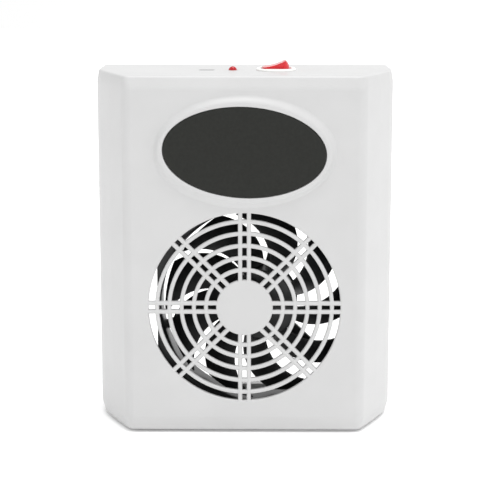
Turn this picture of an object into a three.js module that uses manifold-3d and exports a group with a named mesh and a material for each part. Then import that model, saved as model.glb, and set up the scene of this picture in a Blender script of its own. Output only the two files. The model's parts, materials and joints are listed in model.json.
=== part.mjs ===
// Nail dust collector: a white moulded housing stands on its lower edge, a grille in its front
// lets a black axial fan draw dust in, and a collar on its back takes a dust bag.
// Millimetres, +Z up. The front looks along -Y, and Z = 0 is the table top.
import * as THREE from 'three';
import { mergeVertices } from 'three/addons/utils/BufferGeometryUtils.js';
import Module from 'manifold-3d';

const wasm = await Module();
wasm.setup();

// ---------------------------------------------------------------- driving dimensions
const GAP = 0.3;                      // clearance between neighbouring pieces
const WALL = 2.5;                     // housing wall thickness
const FOOT_HEIGHT = 1.5;
const BODY_HEIGHT = 206.5;
const FRONT_Y = -35;                  // plane of the front face
const BACK_Y = 33;                    // plane of the back cover
const COLLAR_DEPTH = 4.5;             // how far the bag collar stands out of the back
const COVER_THICKNESS = 2;
const BASE_Z = FOOT_HEIGHT;
const TOP_Z = BASE_Z + BODY_HEIGHT;

// Half of the housing's plan, from the flat front round a soft corner and along the flared side.
const HALF_PLAN = [
  [63.5, FRONT_Y],
  [67.2, FRONT_Y + 1.1],
  [69.8, FRONT_Y + 4],
  [77.6, FRONT_Y + 19.4],
  [84, FRONT_Y + 33.5],
  [86.1, FRONT_Y + 40],
  [86.5, FRONT_Y + 46],
];
const BACK_HALF = 85.4;               // half width where the housing meets the back cover
const SIDE_INSET = 1.08;              // how much faster the slanting sides come in than the front
const TOP_BEVEL = { height: 7, depth: 2.5 };
const BOTTOM_BEVEL = { height: 7.7, depth: 2 };

const GRILLE_X = 0;
const GRILLE_Z = 75;
const GRILLE_RADIUS = 55.1;
const GRILLE_HUB_RADIUS = 16.3;
const RING_COUNT = 5;
const RING_FIRST_RADIUS = 22.1;
const RING_PITCH = 7.03;
const RING_WIDTH = 2.4;
const SPOKE_DIRECTIONS = 8;
const SPOKE_WIDTH = 2.5;
const SPOKE_OFFSET = 2.5;             // each direction has two bars, this far from its centre line

const BADGE_Z = 163.9;
const BADGE_TILT = THREE.MathUtils.degToRad(-2.8);
const BADGE_HALF = [46.3, 26.3];
const BADGE_THICKNESS = 0.9;
const PEDESTAL_OUTER = [50.9, 32.2];
const PEDESTAL_INNER = [48.2, 28.2];
const PEDESTAL_HEIGHT = 2.5;

const CONTROL_Y = 1;                  // line of the controls on the top wall
const PORT_X = -22.2;
const LED_X = -7.1;
const SWITCH_X = 18;

const FAN_X = 9.5;                    // the fan sits off the grille's centre
const FAN_Z = 74;
const FAN_HALF = 60;
const FAN_DEPTH = 25;
const FAN_FRONT = FRONT_Y + 9.5;
const FAN_BACK = FAN_FRONT + FAN_DEPTH;
const FAN_HOLE_OFFSET = 52.5;
const FAN_FLANGE = 4;
const DUCT_RADIUS = 57.6;
const BLADE_COUNT = 9;
const BLADE_TIP_RADIUS = 56;
const BLADE_THICKNESS = 1.4;
const BLADE_FRONT = FAN_FRONT + 1;
const BLADE_DEPTH = 18.6;
const BLADE_PHASE = 41.6;             // degrees, the first blade's leading edge at the hub
const BLADE_SWEEP = 27.4;             // degrees the tip leads the hub
const BLADE_SWEEP_POWER = 1.7;        // how late along the blade the sweep comes in
const BLADE_CHORD = [39, 35];         // degrees, at the hub and at the tip
const BLADE_CAMBER = 0.09;            // of the chord
const HUB_RADIUS = 20.6;
const HUB_FRONT = FAN_FRONT + 1;
const HUB_BACK = FAN_BACK - 4.6;
const MOTOR_BASE_RADIUS = 21.5;
const MOTOR_BASE_THICKNESS = 2.6;
const STRUT_ANGLES = [76.5, 196.5, 316.5];
const SHAFT_RADIUS = 1.5;

const OUTLET = { z: 71, halfWidth: 67, halfHeight: 60, corner: 32 };
const COLLAR_WALL = 2.2;
const COLLAR_LIP = 1.5;
const COVER_SCREW_X = 76;
const COVER_SCREW_INSET = 8.5;        // from the top and bottom edges

const SWITCH_BEZEL_RADIUS = 11.55;
const SWITCH_BEZEL_HEIGHT = 1.2;
const SWITCH_BARREL_RADIUS = 9.8;
const SWITCH_BARREL_DEPTH = 15;
const SWITCH_WELL = { radius: 9.1, halfWidth: 6.6, depth: 11 };
const ROCKER_END_RADIUS = 8.4;        // end faces, about the pivot
const ROCKER_PLAN_RADIUS = 8.2;       // seen from above
const ROCKER_HALF_WIDTH = 6.2;
const ROCKER_TILT = THREE.MathUtils.degToRad(16);
const ROCKER_PRESSED_RISE = 2.65;     // top of the pressed end above the pivot
const ROCKER_PIVOT_DROP = 0.8;        // pivot below the outer face of the top wall

// Sides of the round shapes, from the large ones to the small ones.
const FINE = 40;
const MEDIUM = 24;
const COARSE = 14;
const SMALL = 10;

const BOARD = { x: -15.2, width: 39.5, depth: 15, top: TOP_Z - 9.8, thickness: 1.6 };
const BOARD_SCREW_X = [-32, 0.6];

// ---------------------------------------------------------------- materials
function paint(color, roughness, metalness = 0) {
  return new THREE.MeshStandardMaterial({ color, roughness, metalness });
}
const whiteAbs = paint(0xe4e4e2, 0.45);
const darkPlate = paint(0x3b3c39, 0.5);
const blackPlastic = paint(0x141414, 0.5);
const redPlastic = paint(0xc8141e, 0.2);
const whiteNylon = paint(0xf2f2f0, 0.4);
const steel = paint(0xb8bbbe, 0.3, 1);
const brass = paint(0xc9a24a, 0.3, 1);
const copper = paint(0xb4602c, 0.35, 1);
const ferrite = paint(0x3a3836, 0.7);
const greenBoard = paint(0x1d5b34, 0.5);
const blackRubber = paint(0x1c1c1c, 0.85);
const redWire = paint(0xb02020, 0.45);
const blackWire = paint(0x161616, 0.45);

// ---------------------------------------------------------------- helpers
const model = new THREE.Group();

// Turns a closed geometry into a solid, with its faces pointing out.
function solid(geometry) {
  const bare = geometry.clone();
  bare.deleteAttribute('normal');
  bare.deleteAttribute('uv');
  const merged = mergeVertices(bare, 1e-4);
  const points = merged.attributes.position.array;
  const corners = Uint32Array.from(merged.index.array);
  if (signedVolume(points, corners) < 0) {
    corners.reverse();
  }
  return new wasm.Manifold(new wasm.Mesh({
    numProp: 3,
    vertProperties: Float32Array.from(points),
    triVerts: corners,
  }));
}

function signedVolume(points, corners) {
  const [a, b, c] = [new THREE.Vector3(), new THREE.Vector3(), new THREE.Vector3()];
  let sum = 0;
  for (let i = 0; i < corners.length; i += 3) {
    a.fromArray(points, corners[i] * 3);
    b.fromArray(points, corners[i + 1] * 3);
    c.fromArray(points, corners[i + 2] * 3);
    sum += a.dot(b.cross(c)) / 6;
  }
  return sum;
}

function geometryOf(body) {
  const mesh = body.getMesh();
  const geometry = new THREE.BufferGeometry();
  const points = new Float32Array((mesh.vertProperties.length / mesh.numProp) * 3);
  for (let i = 0; i < points.length / 3; i += 1) {
    for (let k = 0; k < 3; k += 1) {
      points[i * 3 + k] = mesh.vertProperties[i * mesh.numProp + k];
    }
  }
  geometry.setAttribute('position', new THREE.BufferAttribute(points, 3));
  geometry.setIndex(new THREE.BufferAttribute(Uint32Array.from(mesh.triVerts), 1));
  geometry.computeVertexNormals();
  return geometry;
}

function join(bodies) {
  return bodies.reduce((sum, body) => sum.add(body));
}

function addNode(name, body, material, place = [0, 0, 0]) {
  const mesh = new THREE.Mesh(geometryOf(body), material.clone());
  mesh.name = name;
  mesh.position.set(...place);
  model.add(mesh);
}

// A box from its lowest to its highest corner.
function block(low, high) {
  const size = high.map((value, axis) => value - low[axis]);
  const geometry = new THREE.BoxGeometry(...size);
  geometry.translate(...low.map((value, axis) => value + size[axis] / 2));
  return solid(geometry);
}

// A round bar along Y.
function barY(x, z, radius, y0, y1, sides = COARSE) {
  const geometry = new THREE.CylinderGeometry(radius, radius, y1 - y0, sides);
  geometry.translate(x, (y0 + y1) / 2, z);
  return solid(geometry);
}

// A round bar along Z.
function barZ(x, y, radius, z0, z1, sides = COARSE) {
  const geometry = new THREE.CylinderGeometry(radius, radius, z1 - z0, sides);
  geometry.rotateX(Math.PI / 2);
  geometry.translate(x, y, (z0 + z1) / 2);
  return solid(geometry);
}

// A ring or disc about a Y axis, from its closed profile of [radius, y] points.
function turnedY(profile, x, z, sides = MEDIUM) {
  const points = profile.map(([r, y]) => new THREE.Vector2(r, y));
  const onAxis = profile[0][0] === 0;
  if (!onAxis) {
    points.push(points[0].clone());
  }
  const geometry = new THREE.LatheGeometry(points, sides);
  geometry.translate(x, 0, z);
  return solid(geometry);
}

// The same about a Z axis, from [radius, z] points.
function turnedZ(profile, x, y, sides = COARSE) {
  const points = profile.map(([r, z]) => new THREE.Vector2(r, z));
  if (profile[0][0] !== 0) {
    points.push(points[0].clone());
  }
  const geometry = new THREE.LatheGeometry(points, sides);
  geometry.rotateX(Math.PI / 2);
  geometry.translate(x, y, 0);
  return solid(geometry);
}

function tubeProfile(inner, outer, low, high) {
  return [[inner, low], [outer, low], [outer, high], [inner, high]];
}

// A flat X-Z outline pushed through from y0 to y1.
function slabY(shape, y0, y1, curveSegments = 8) {
  const geometry = new THREE.ExtrudeGeometry(shape, { depth: y1 - y0, bevelEnabled: false, curveSegments });
  geometry.rotateX(Math.PI / 2);
  geometry.translate(0, y1, 0);
  return solid(geometry);
}

// A flat X-Y outline pushed up from z0 to z1.
function slabZ(shape, z0, z1, curveSegments = 6) {
  const geometry = new THREE.ExtrudeGeometry(shape, { depth: z1 - z0, bevelEnabled: false, curveSegments });
  geometry.translate(0, 0, z0);
  return solid(geometry);
}

function roundedRect(cx, cy, halfWidth, halfHeight, radius) {
  const shape = new THREE.Shape();
  shape.moveTo(cx - halfWidth + radius, cy - halfHeight);
  shape.lineTo(cx + halfWidth - radius, cy - halfHeight);
  shape.absarc(cx + halfWidth - radius, cy - halfHeight + radius, radius, -Math.PI / 2, 0);
  shape.lineTo(cx + halfWidth, cy + halfHeight - radius);
  shape.absarc(cx + halfWidth - radius, cy + halfHeight - radius, radius, 0, Math.PI / 2);
  shape.lineTo(cx - halfWidth + radius, cy + halfHeight);
  shape.absarc(cx - halfWidth + radius, cy + halfHeight - radius, radius, Math.PI / 2, Math.PI);
  shape.lineTo(cx - halfWidth, cy - halfHeight + radius);
  shape.absarc(cx - halfWidth + radius, cy - halfHeight + radius, radius, Math.PI, Math.PI * 1.5);
  return shape;
}

// A closed body lofted through rings of points; every ring has the same number of points.
function loft(rings) {
  const count = rings[0].length;
  const positions = rings.flat(2);
  const index = [];
  for (let s = 0; s < rings.length - 1; s += 1) {
    for (let i = 0; i < count; i += 1) {
      const a = s * count + i;
      const b = s * count + ((i + 1) % count);
      index.push(a, b, b + count, a, b + count, a + count);
    }
  }
  const last = (rings.length - 1) * count;
  for (let i = 1; i < count - 1; i += 1) {
    index.push(0, i + 1, i);
    index.push(last, last + i, last + i + 1);
  }
  const geometry = new THREE.BufferGeometry();
  geometry.setAttribute('position', new THREE.Float32BufferAttribute(positions, 3));
  geometry.setIndex(index);
  return solid(geometry);
}

function ellipseRing(halfX, halfZ, y, z, tilt = 0, count = FINE) {
  return Array.from({ length: count }, (_, i) => {
    const turn = (i / count) * Math.PI * 2;
    const u = halfX * Math.cos(turn);
    const v = halfZ * Math.sin(turn);
    return [u * Math.cos(tilt) - v * Math.sin(tilt), y, z + u * Math.sin(tilt) + v * Math.cos(tilt)];
  });
}

// A wire of round section along a smooth route.
function wire(points, radius) {
  const route = new THREE.CatmullRomCurve3(points.map((p) => new THREE.Vector3(...p)));
  const section = new THREE.Shape();
  section.absarc(0, 0, radius, 0, Math.PI * 2);
  const steps = Math.min(60, Math.ceil(route.getLength() / (radius * 6)));
  return solid(new THREE.ExtrudeGeometry(section, { steps, extrudePath: route, curveSegments: 4 }));
}

// ---------------------------------------------------------------- housing
// The housing's plan at one height, brought in by a distance on its front and its sides.
function housingRing(inset, backY, z) {
  const side = inset * SIDE_INSET;
  const half = [...HALF_PLAN, [BACK_HALF, backY]].map(([x, y]) => [x - side, y]);
  half[0][1] += inset;
  half[1][1] += inset * 0.8;
  half[2][1] += inset * 0.4;
  const mirrored = half.map(([x, y]) => [-x, y]).reverse();
  return [...half, ...mirrored].map(([x, y]) => [x, y, z]);
}

// The housing as a block whose top and bottom edges slant in all round, less a wall's thickness.
function housingBlock(wall, backY) {
  const bevelAt = (bevel) => bevel.depth * (1 - wall / bevel.height);
  return loft([
    housingRing(wall + bevelAt(BOTTOM_BEVEL), backY, BASE_Z + wall),
    housingRing(wall, backY, BASE_Z + BOTTOM_BEVEL.height),
    housingRing(wall, backY, TOP_Z - TOP_BEVEL.height),
    housingRing(wall + bevelAt(TOP_BEVEL), backY, TOP_Z - wall),
  ]);
}

function grilleBars() {
  const y0 = FRONT_Y;
  const y1 = FRONT_Y + WALL;
  const bars = [barY(GRILLE_X, GRILLE_Z, GRILLE_HUB_RADIUS, y0, y1, MEDIUM)];
  for (let i = 0; i < RING_COUNT; i += 1) {
    const radius = RING_FIRST_RADIUS + i * RING_PITCH;
    const profile = tubeProfile(radius - RING_WIDTH / 2, radius + RING_WIDTH / 2, y0, y1);
    bars.push(turnedY(profile, GRILLE_X, GRILLE_Z, FINE));
  }
  for (let i = 0; i < SPOKE_DIRECTIONS; i += 1) {
    for (const side of [-1, 1]) {
      const inner = GRILLE_HUB_RADIUS - 2;
      const outer = GRILLE_RADIUS + 0.5;
      const bar = new THREE.BoxGeometry(outer - inner, WALL, SPOKE_WIDTH);
      bar.translate((inner + outer) / 2, (y0 + y1) / 2, side * SPOKE_OFFSET);
      bar.rotateY((i / SPOKE_DIRECTIONS) * Math.PI * 2);
      bar.translate(GRILLE_X, 0, GRILLE_Z);
      bars.push(solid(bar));
    }
  }
  return join(bars);
}

function badgePedestal() {
  const rings = [0, 0.35, 0.7, 1].map((t) => {
    const rise = Math.sin((t * Math.PI) / 2);
    const halfX = THREE.MathUtils.lerp(PEDESTAL_OUTER[0], PEDESTAL_INNER[0], t);
    const halfZ = THREE.MathUtils.lerp(PEDESTAL_OUTER[1], PEDESTAL_INNER[1], t);
    return ellipseRing(halfX, halfZ, FRONT_Y - PEDESTAL_HEIGHT * rise, BADGE_Z, BADGE_TILT * t);
  });
  const root = ellipseRing(...PEDESTAL_OUTER, FRONT_Y + 1, BADGE_Z);
  return loft([root, ...rings]);
}

function badgeRecess() {
  const halves = BADGE_HALF.map((half) => half + GAP);
  const floorY = FRONT_Y - PEDESTAL_HEIGHT + BADGE_THICKNESS + 0.35;
  const top = ellipseRing(...halves, FRONT_Y - PEDESTAL_HEIGHT - 1, BADGE_Z, BADGE_TILT);
  return loft([top, ellipseRing(...halves, floorY, BADGE_Z, BADGE_TILT)]);
}

function fanHoles() {
  const places = [];
  for (const dx of [-FAN_HOLE_OFFSET, FAN_HOLE_OFFSET]) {
    for (const dz of [-FAN_HOLE_OFFSET, FAN_HOLE_OFFSET]) {
      places.push([FAN_X + dx, FAN_Z + dz]);
    }
  }
  return places;
}

function coverScrewPlaces() {
  const heights = [BASE_Z + COVER_SCREW_INSET, TOP_Z - COVER_SCREW_INSET];
  return [-COVER_SCREW_X, COVER_SCREW_X].flatMap((x) => heights.map((z) => [x, z]));
}

function frontShell() {
  const coverFront = BACK_Y - COVER_THICKNESS - GAP;
  const outer = housingBlock(0, coverFront);
  const inner = housingBlock(WALL, coverFront + 1);
  const posts = fanHoles().map(([x, z]) => barY(x, z, 4.5, FRONT_Y + 1, FAN_FRONT - GAP, SMALL));
  const bosses = coverScrewPlaces().map(([x, z]) => barY(x, z, 4.6, FRONT_Y, coverFront, SMALL));
  const boardBosses = BOARD_SCREW_X.map((x) => barZ(x, CONTROL_Y, 2.7, BOARD.top + GAP, TOP_Z - 1, SMALL));
  const inside = join([...posts, ...bosses, ...boardBosses]).intersect(outer);
  let shell = outer.subtract(inner).add(inside).add(badgePedestal());
  const mouth = barY(GRILLE_X, GRILLE_Z, GRILLE_RADIUS, FRONT_Y - 5, FRONT_Y + WALL + 0.01, FINE);
  shell = shell.subtract(mouth);
  shell = shell.add(grilleBars()).subtract(badgeRecess());
  for (const [x, z] of fanHoles()) {
    shell = shell.subtract(barY(x, z, 2, FRONT_Y + 2, FAN_FRONT + 1, SMALL));
  }
  for (const [x, z] of coverScrewPlaces()) {
    shell = shell.subtract(barY(x, z, 1.8, coverFront - 12, coverFront + 1, SMALL));
  }
  for (const x of BOARD_SCREW_X) {
    shell = shell.subtract(barZ(x, CONTROL_Y, 1.2, BOARD.top - 1, BOARD.top + 7.5, SMALL));
  }
  return shell.subtract(topWallHoles());
}

function topWallHoles() {
  const below = TOP_Z - WALL - 1;
  const above = TOP_Z + 1;
  const slot = slabZ(roundedRect(PORT_X, CONTROL_Y, 4.85, 1.95, 1.9), below, above);
  const lamp = barZ(LED_X, CONTROL_Y, 2.8, below, above);
  const rocker = barZ(SWITCH_X, CONTROL_Y, SWITCH_BARREL_RADIUS + GAP, below, above, MEDIUM);
  return join([slot, lamp, rocker]);
}

// The back cover's outline: the housing's own, with its slanting top and bottom corners.
function coverOutline() {
  const right = [
    [BACK_HALF - BOTTOM_BEVEL.depth * SIDE_INSET, BASE_Z],
    [BACK_HALF, BASE_Z + BOTTOM_BEVEL.height],
    [BACK_HALF, TOP_Z - TOP_BEVEL.height],
    [BACK_HALF - TOP_BEVEL.depth * SIDE_INSET, TOP_Z],
  ];
  const left = right.map(([x, z]) => [-x, z]).reverse();
  return new THREE.Shape([...right, ...left].map(([x, z]) => new THREE.Vector2(x, z)));
}

function backCover() {
  const { z, halfWidth, halfHeight, corner } = OUTLET;
  const plateFront = BACK_Y - COVER_THICKNESS;
  const plate = slabY(coverOutline(), plateFront, BACK_Y);
  const wall = COLLAR_WALL;
  const collarEnd = BACK_Y + COLLAR_DEPTH;
  const ring = roundedRect(0, z, halfWidth + wall, halfHeight + wall, corner + wall);
  const lip = wall + COLLAR_LIP;
  const rim = roundedRect(0, z, halfWidth + lip, halfHeight + lip, corner + lip);
  let cover = plate.add(slabY(ring, plateFront, collarEnd)).add(slabY(rim, collarEnd - 1.5, collarEnd));
  const mouth = roundedRect(0, z, halfWidth, halfHeight, corner);
  cover = cover.subtract(slabY(mouth, plateFront - 1, collarEnd + 1));
  const sideX = BACK_HALF - WALL * SIDE_INSET - GAP;
  const lipDepth = 4;
  for (const side of [-1, 1]) {
    const xs = [side * sideX, side * (sideX - 1.6)].sort((a, b) => a - b);
    cover = cover.add(block([xs[0], plateFront - lipDepth, 40], [xs[1], plateFront + 0.5, 170]));
  }
  const lipTop = TOP_Z - WALL - GAP;
  cover = cover.add(block([-60, plateFront - lipDepth, lipTop - 1.6], [60, plateFront + 0.5, lipTop]));
  for (const [x, screwZ] of coverScrewPlaces()) {
    cover = cover.subtract(barY(x, screwZ, 1.9, plateFront - 1, BACK_Y + 1, SMALL));
  }
  return cover;
}

function badgePlate() {
  const back = FRONT_Y - PEDESTAL_HEIGHT + BADGE_THICKNESS + 0.1;
  const front = back - BADGE_THICKNESS;
  const edge = 0.3;
  return loft([
    ellipseRing(...BADGE_HALF, back, BADGE_Z, BADGE_TILT),
    ellipseRing(...BADGE_HALF, front + edge, BADGE_Z, BADGE_TILT),
    ellipseRing(BADGE_HALF[0] - edge, BADGE_HALF[1] - edge, front, BADGE_Z, BADGE_TILT),
  ]);
}

function rubberFoot(x, y) {
  const radius = 5;
  const top = BASE_Z - 0.05;
  return turnedZ([[0, 0], [radius - 0.5, 0], [radius, 0.5], [radius, top], [0, top]], x, y);
}

// A pan-head screw along Y: the head's underside is at headY, and it points to -Y.
function screwY(x, z, headY, length, radius) {
  const head = radius * 2;
  return turnedY([
    [0, headY - length],
    [radius * 0.5, headY - length],
    [radius, headY - length + radius],
    [radius, headY],
    [head, headY],
    [head, headY + radius * 0.6],
    [head * 0.7, headY + radius * 1.15],
    [0, headY + radius * 1.2],
  ], x, z, SMALL);
}

function buildHousing() {
  addNode('front_shell', frontShell(), whiteAbs);
  addNode('back_cover', backCover(), whiteAbs);
  addNode('badge_plate', badgePlate(), darkPlate);
  const feet = [[-62, -22], [62, -22], [-70, 20], [70, 20]];
  feet.forEach(([x, y], i) => addNode(`rubber_foot_${i + 1}`, rubberFoot(x, y), blackRubber));
  coverScrewPlaces().forEach(([x, z], i) => {
    addNode(`cover_screw_${i + 1}`, screwY(x, z, BACK_Y + 0.05, 11, 1.5), steel);
  });
}

// ---------------------------------------------------------------- fan
function fanFrame() {
  const square = roundedRect(FAN_X, FAN_Z, FAN_HALF, FAN_HALF, 5);
  const front = slabY(square, FAN_FRONT, FAN_FRONT + FAN_FLANGE, 4);
  const back = slabY(square, FAN_BACK - FAN_FLANGE, FAN_BACK, 4);
  const barrel = barY(FAN_X, FAN_Z, FAN_HALF - 0.3, FAN_FRONT + 1, FAN_BACK - 1, FINE);
  let frame = join([front, back, barrel]).subtract(barY(FAN_X, FAN_Z, DUCT_RADIUS, -60, 60, FINE));
  const funnel = [[0, FAN_FRONT - 1], [DUCT_RADIUS + 1.9, FAN_FRONT - 1], [DUCT_RADIUS + 1.9, FAN_FRONT],
    [DUCT_RADIUS - 0.1, FAN_FRONT + 4.5], [0, FAN_FRONT + 4.5]];
  frame = frame.subtract(turnedY(funnel, FAN_X, FAN_Z, FINE));
  for (const [x, z] of fanHoles()) {
    frame = frame.subtract(barY(x, z, 2.2, FAN_FRONT - 1, FAN_BACK + 1, SMALL));
  }
  const baseFront = FAN_BACK - MOTOR_BASE_THICKNESS;
  frame = frame.add(barY(FAN_X, FAN_Z, MOTOR_BASE_RADIUS, baseFront, FAN_BACK, MEDIUM));
  for (const angle of STRUT_ANGLES) {
    const strut = new THREE.BoxGeometry(DUCT_RADIUS - 18, 4, 5);
    strut.translate((DUCT_RADIUS + 20) / 2, FAN_BACK - 2, 0);
    strut.rotateY(THREE.MathUtils.degToRad(-angle));
    strut.translate(FAN_X, 0, FAN_Z);
    frame = frame.add(solid(strut));
  }
  const tube = barY(FAN_X, FAN_Z, 5, FAN_FRONT + 6, baseFront + 0.5);
  frame = frame.add(tube);
  return frame.subtract(barY(FAN_X, FAN_Z, 4.1, FAN_FRONT, FAN_BACK - 0.8));
}

// One blade as a plate lofted from the hub to the tip. Front edge leads, counter-clockwise.
function fanBlade(turn) {
  const stations = 5;
  const chordSteps = 3;
  const rings = [];
  for (let s = 0; s <= stations; s += 1) {
    const t = s / stations;
    const radius = THREE.MathUtils.lerp(HUB_RADIUS - 0.6, BLADE_TIP_RADIUS, t);
    const chord = THREE.MathUtils.degToRad(THREE.MathUtils.lerp(...BLADE_CHORD, t));
    const lead = turn + THREE.MathUtils.degToRad(BLADE_SWEEP * t ** BLADE_SWEEP_POWER);
    const ring = [];
    for (const side of [1, -1]) {
      for (let k = 0; k <= chordSteps; k += 1) {
        const c = side > 0 ? k / chordSteps : 1 - k / chordSteps;
        const camber = BLADE_CAMBER * Math.sin(c * Math.PI);
        const half = (BLADE_THICKNESS / 2) * (0.45 + 0.55 * Math.sin(Math.PI * Math.min(1, 0.25 + c)));
        const angle = lead - chord * c + (side * half * 0.7) / radius;
        const y = BLADE_FRONT + BLADE_DEPTH * (c - camber) + side * half * 0.7;
        ring.push([FAN_X + radius * Math.cos(angle), y, FAN_Z + radius * Math.sin(angle)]);
      }
    }
    rings.push(ring);
  }
  return loft(rings);
}

function fanRotor() {
  const wall = 1.2;
  const hub = turnedY([
    [0, HUB_FRONT], [HUB_RADIUS - 2, HUB_FRONT], [HUB_RADIUS, HUB_FRONT + 2], [HUB_RADIUS, HUB_BACK],
    [HUB_RADIUS - wall, HUB_BACK], [HUB_RADIUS - wall, HUB_FRONT + 2], [3.4, HUB_FRONT + 2],
    [3.4, HUB_FRONT + 4.6], [SHAFT_RADIUS + GAP, HUB_FRONT + 4.6], [SHAFT_RADIUS + GAP, HUB_FRONT + 1.2],
    [0, HUB_FRONT + 1.2],
  ], FAN_X, FAN_Z);
  const blades = Array.from({ length: BLADE_COUNT }, (_, i) => (
    fanBlade(THREE.MathUtils.degToRad(BLADE_PHASE + (i * 360) / BLADE_COUNT))
  ));
  const bore = barY(FAN_X, FAN_Z, HUB_RADIUS - wall, HUB_FRONT + 2, FAN_BACK + 5, MEDIUM);
  return join(blades).subtract(bore).add(hub);
}

function rotorYoke() {
  const outer = HUB_RADIUS - 1.2 - GAP;
  const front = HUB_FRONT + 2 + GAP;
  return turnedY([
    [3.7, front], [outer, front], [outer, HUB_BACK - 0.6], [outer - 1, HUB_BACK - 0.6],
    [outer - 1, front + 1], [3.7, front + 1],
  ], FAN_X, FAN_Z);
}

function rotorMagnet() {
  const outer = HUB_RADIUS - 2.2 - 2 * GAP;
  return turnedY(tubeProfile(outer - 2.4, outer, HUB_FRONT + 4, HUB_BACK - 1.2), FAN_X, FAN_Z);
}

function bearing(y0) {
  return turnedY(tubeProfile(SHAFT_RADIUS + GAP, 3.8, y0, y0 + 3), FAN_X, FAN_Z, COARSE);
}

function statorCore() {
  const y0 = FAN_FRONT + 8;
  const y1 = y0 + 7;
  let core = turnedY(tubeProfile(5.3, 7.5, y0, y1), FAN_X, FAN_Z, COARSE);
  for (let i = 0; i < 4; i += 1) {
    const tooth = new THREE.BoxGeometry(7, y1 - y0, 3);
    tooth.translate(10, (y0 + y1) / 2, 0);
    tooth.rotateY(-(i + 0.5) * (Math.PI / 2));
    tooth.translate(FAN_X, 0, FAN_Z);
    const shoe = turnedY(tubeProfile(12.6, 14.2, y0, y1), FAN_X, FAN_Z);
    const sector = new THREE.BoxGeometry(12, (y1 - y0) * 2, 17);
    sector.translate(13, (y0 + y1) / 2, 0);
    sector.rotateY(-(i + 0.5) * (Math.PI / 2));
    sector.translate(FAN_X, 0, FAN_Z);
    core = core.add(solid(tooth)).add(shoe.intersect(solid(sector)));
  }
  return core;
}

// One winding wrapped round a stator tooth.
function statorCoil(i) {
  const core = { half: 1.5 + GAP, y0: FAN_FRONT + 8 - GAP, y1: FAN_FRONT + 15 + GAP };
  const wrap = 1.5;
  const outside = new THREE.BoxGeometry(4, core.y1 - core.y0 + 2 * wrap, (core.half + wrap) * 2);
  const inside = new THREE.BoxGeometry(6, core.y1 - core.y0, core.half * 2);
  const coil = [outside, inside].map((geometry) => {
    geometry.translate(10.1, (core.y0 + core.y1) / 2, 0);
    geometry.rotateY(-(i + 0.5) * (Math.PI / 2));
    geometry.translate(FAN_X, 0, FAN_Z);
    return solid(geometry);
  });
  return coil[0].subtract(coil[1]);
}

function motorBoard() {
  const y1 = FAN_BACK - MOTOR_BASE_THICKNESS - GAP;
  return turnedY(tubeProfile(5.4, 14.5, y1 - 1, y1), FAN_X, FAN_Z);
}

function shaftClip() {
  const y0 = FAN_BACK - 2.6;
  const ring = turnedY(tubeProfile(SHAFT_RADIUS + GAP - 0.05, 3.2, y0, y0 + 0.6), FAN_X, FAN_Z, SMALL);
  return ring.subtract(block([FAN_X - 0.7, y0 - 1, FAN_Z - 5], [FAN_X + 0.7, y0 + 2, FAN_Z]));
}

function buildFan() {
  addNode('fan_frame', fanFrame(), blackPlastic);
  addNode('fan_rotor', fanRotor(), blackPlastic);
  addNode('rotor_yoke', rotorYoke(), steel);
  addNode('rotor_magnet', rotorMagnet(), ferrite);
  const shaft = barY(FAN_X, FAN_Z, SHAFT_RADIUS, HUB_FRONT + 1.5, FAN_BACK - 1.4, COARSE);
  addNode('fan_shaft', shaft, steel);
  addNode('shaft_clip', shaftClip(), steel);
  addNode('bearing_front', bearing(FAN_FRONT + 6.6), steel);
  addNode('bearing_back', bearing(FAN_BACK - 6.2), steel);
  addNode('stator_core', statorCore(), steel);
  for (let i = 0; i < 4; i += 1) {
    addNode(`stator_coil_${i + 1}`, statorCoil(i), copper);
  }
  addNode('motor_board', motorBoard(), greenBoard);
  fanHoles().forEach(([x, z], i) => {
    addNode(`fan_screw_${i + 1}`, screwY(x, z, FAN_BACK + 0.05, FAN_DEPTH + 5.4, 1.7), steel);
  });
}

// ---------------------------------------------------------------- switch, lamp and power socket
const PIVOT_Z = TOP_Z - ROCKER_PIVOT_DROP;

function switchBody() {
  const top = TOP_Z + SWITCH_BEZEL_HEIGHT;
  const bottom = TOP_Z - SWITCH_BARREL_DEPTH;
  const seat = TOP_Z + 0.05;
  let body = turnedZ([
    [0, bottom], [SWITCH_BARREL_RADIUS, bottom], [SWITCH_BARREL_RADIUS, seat], [SWITCH_BEZEL_RADIUS, seat],
    [SWITCH_BEZEL_RADIUS, top - 0.7], [SWITCH_BEZEL_RADIUS - 0.8, top], [0, top],
  ], SWITCH_X, CONTROL_Y, MEDIUM);
  const { radius, halfWidth, depth } = SWITCH_WELL;
  const well = barZ(SWITCH_X, CONTROL_Y, radius, TOP_Z - depth, top + 1, MEDIUM);
  const slot = block([SWITCH_X - 20, CONTROL_Y - halfWidth, bottom],
    [SWITCH_X + 20, CONTROL_Y + halfWidth, top + 5]);
  body = body.subtract(well.intersect(slot));
  return body.subtract(barY(SWITCH_X, PIVOT_Z, 1.5, CONTROL_Y - 7.8, CONTROL_Y + 7.8, SMALL));
}

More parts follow.
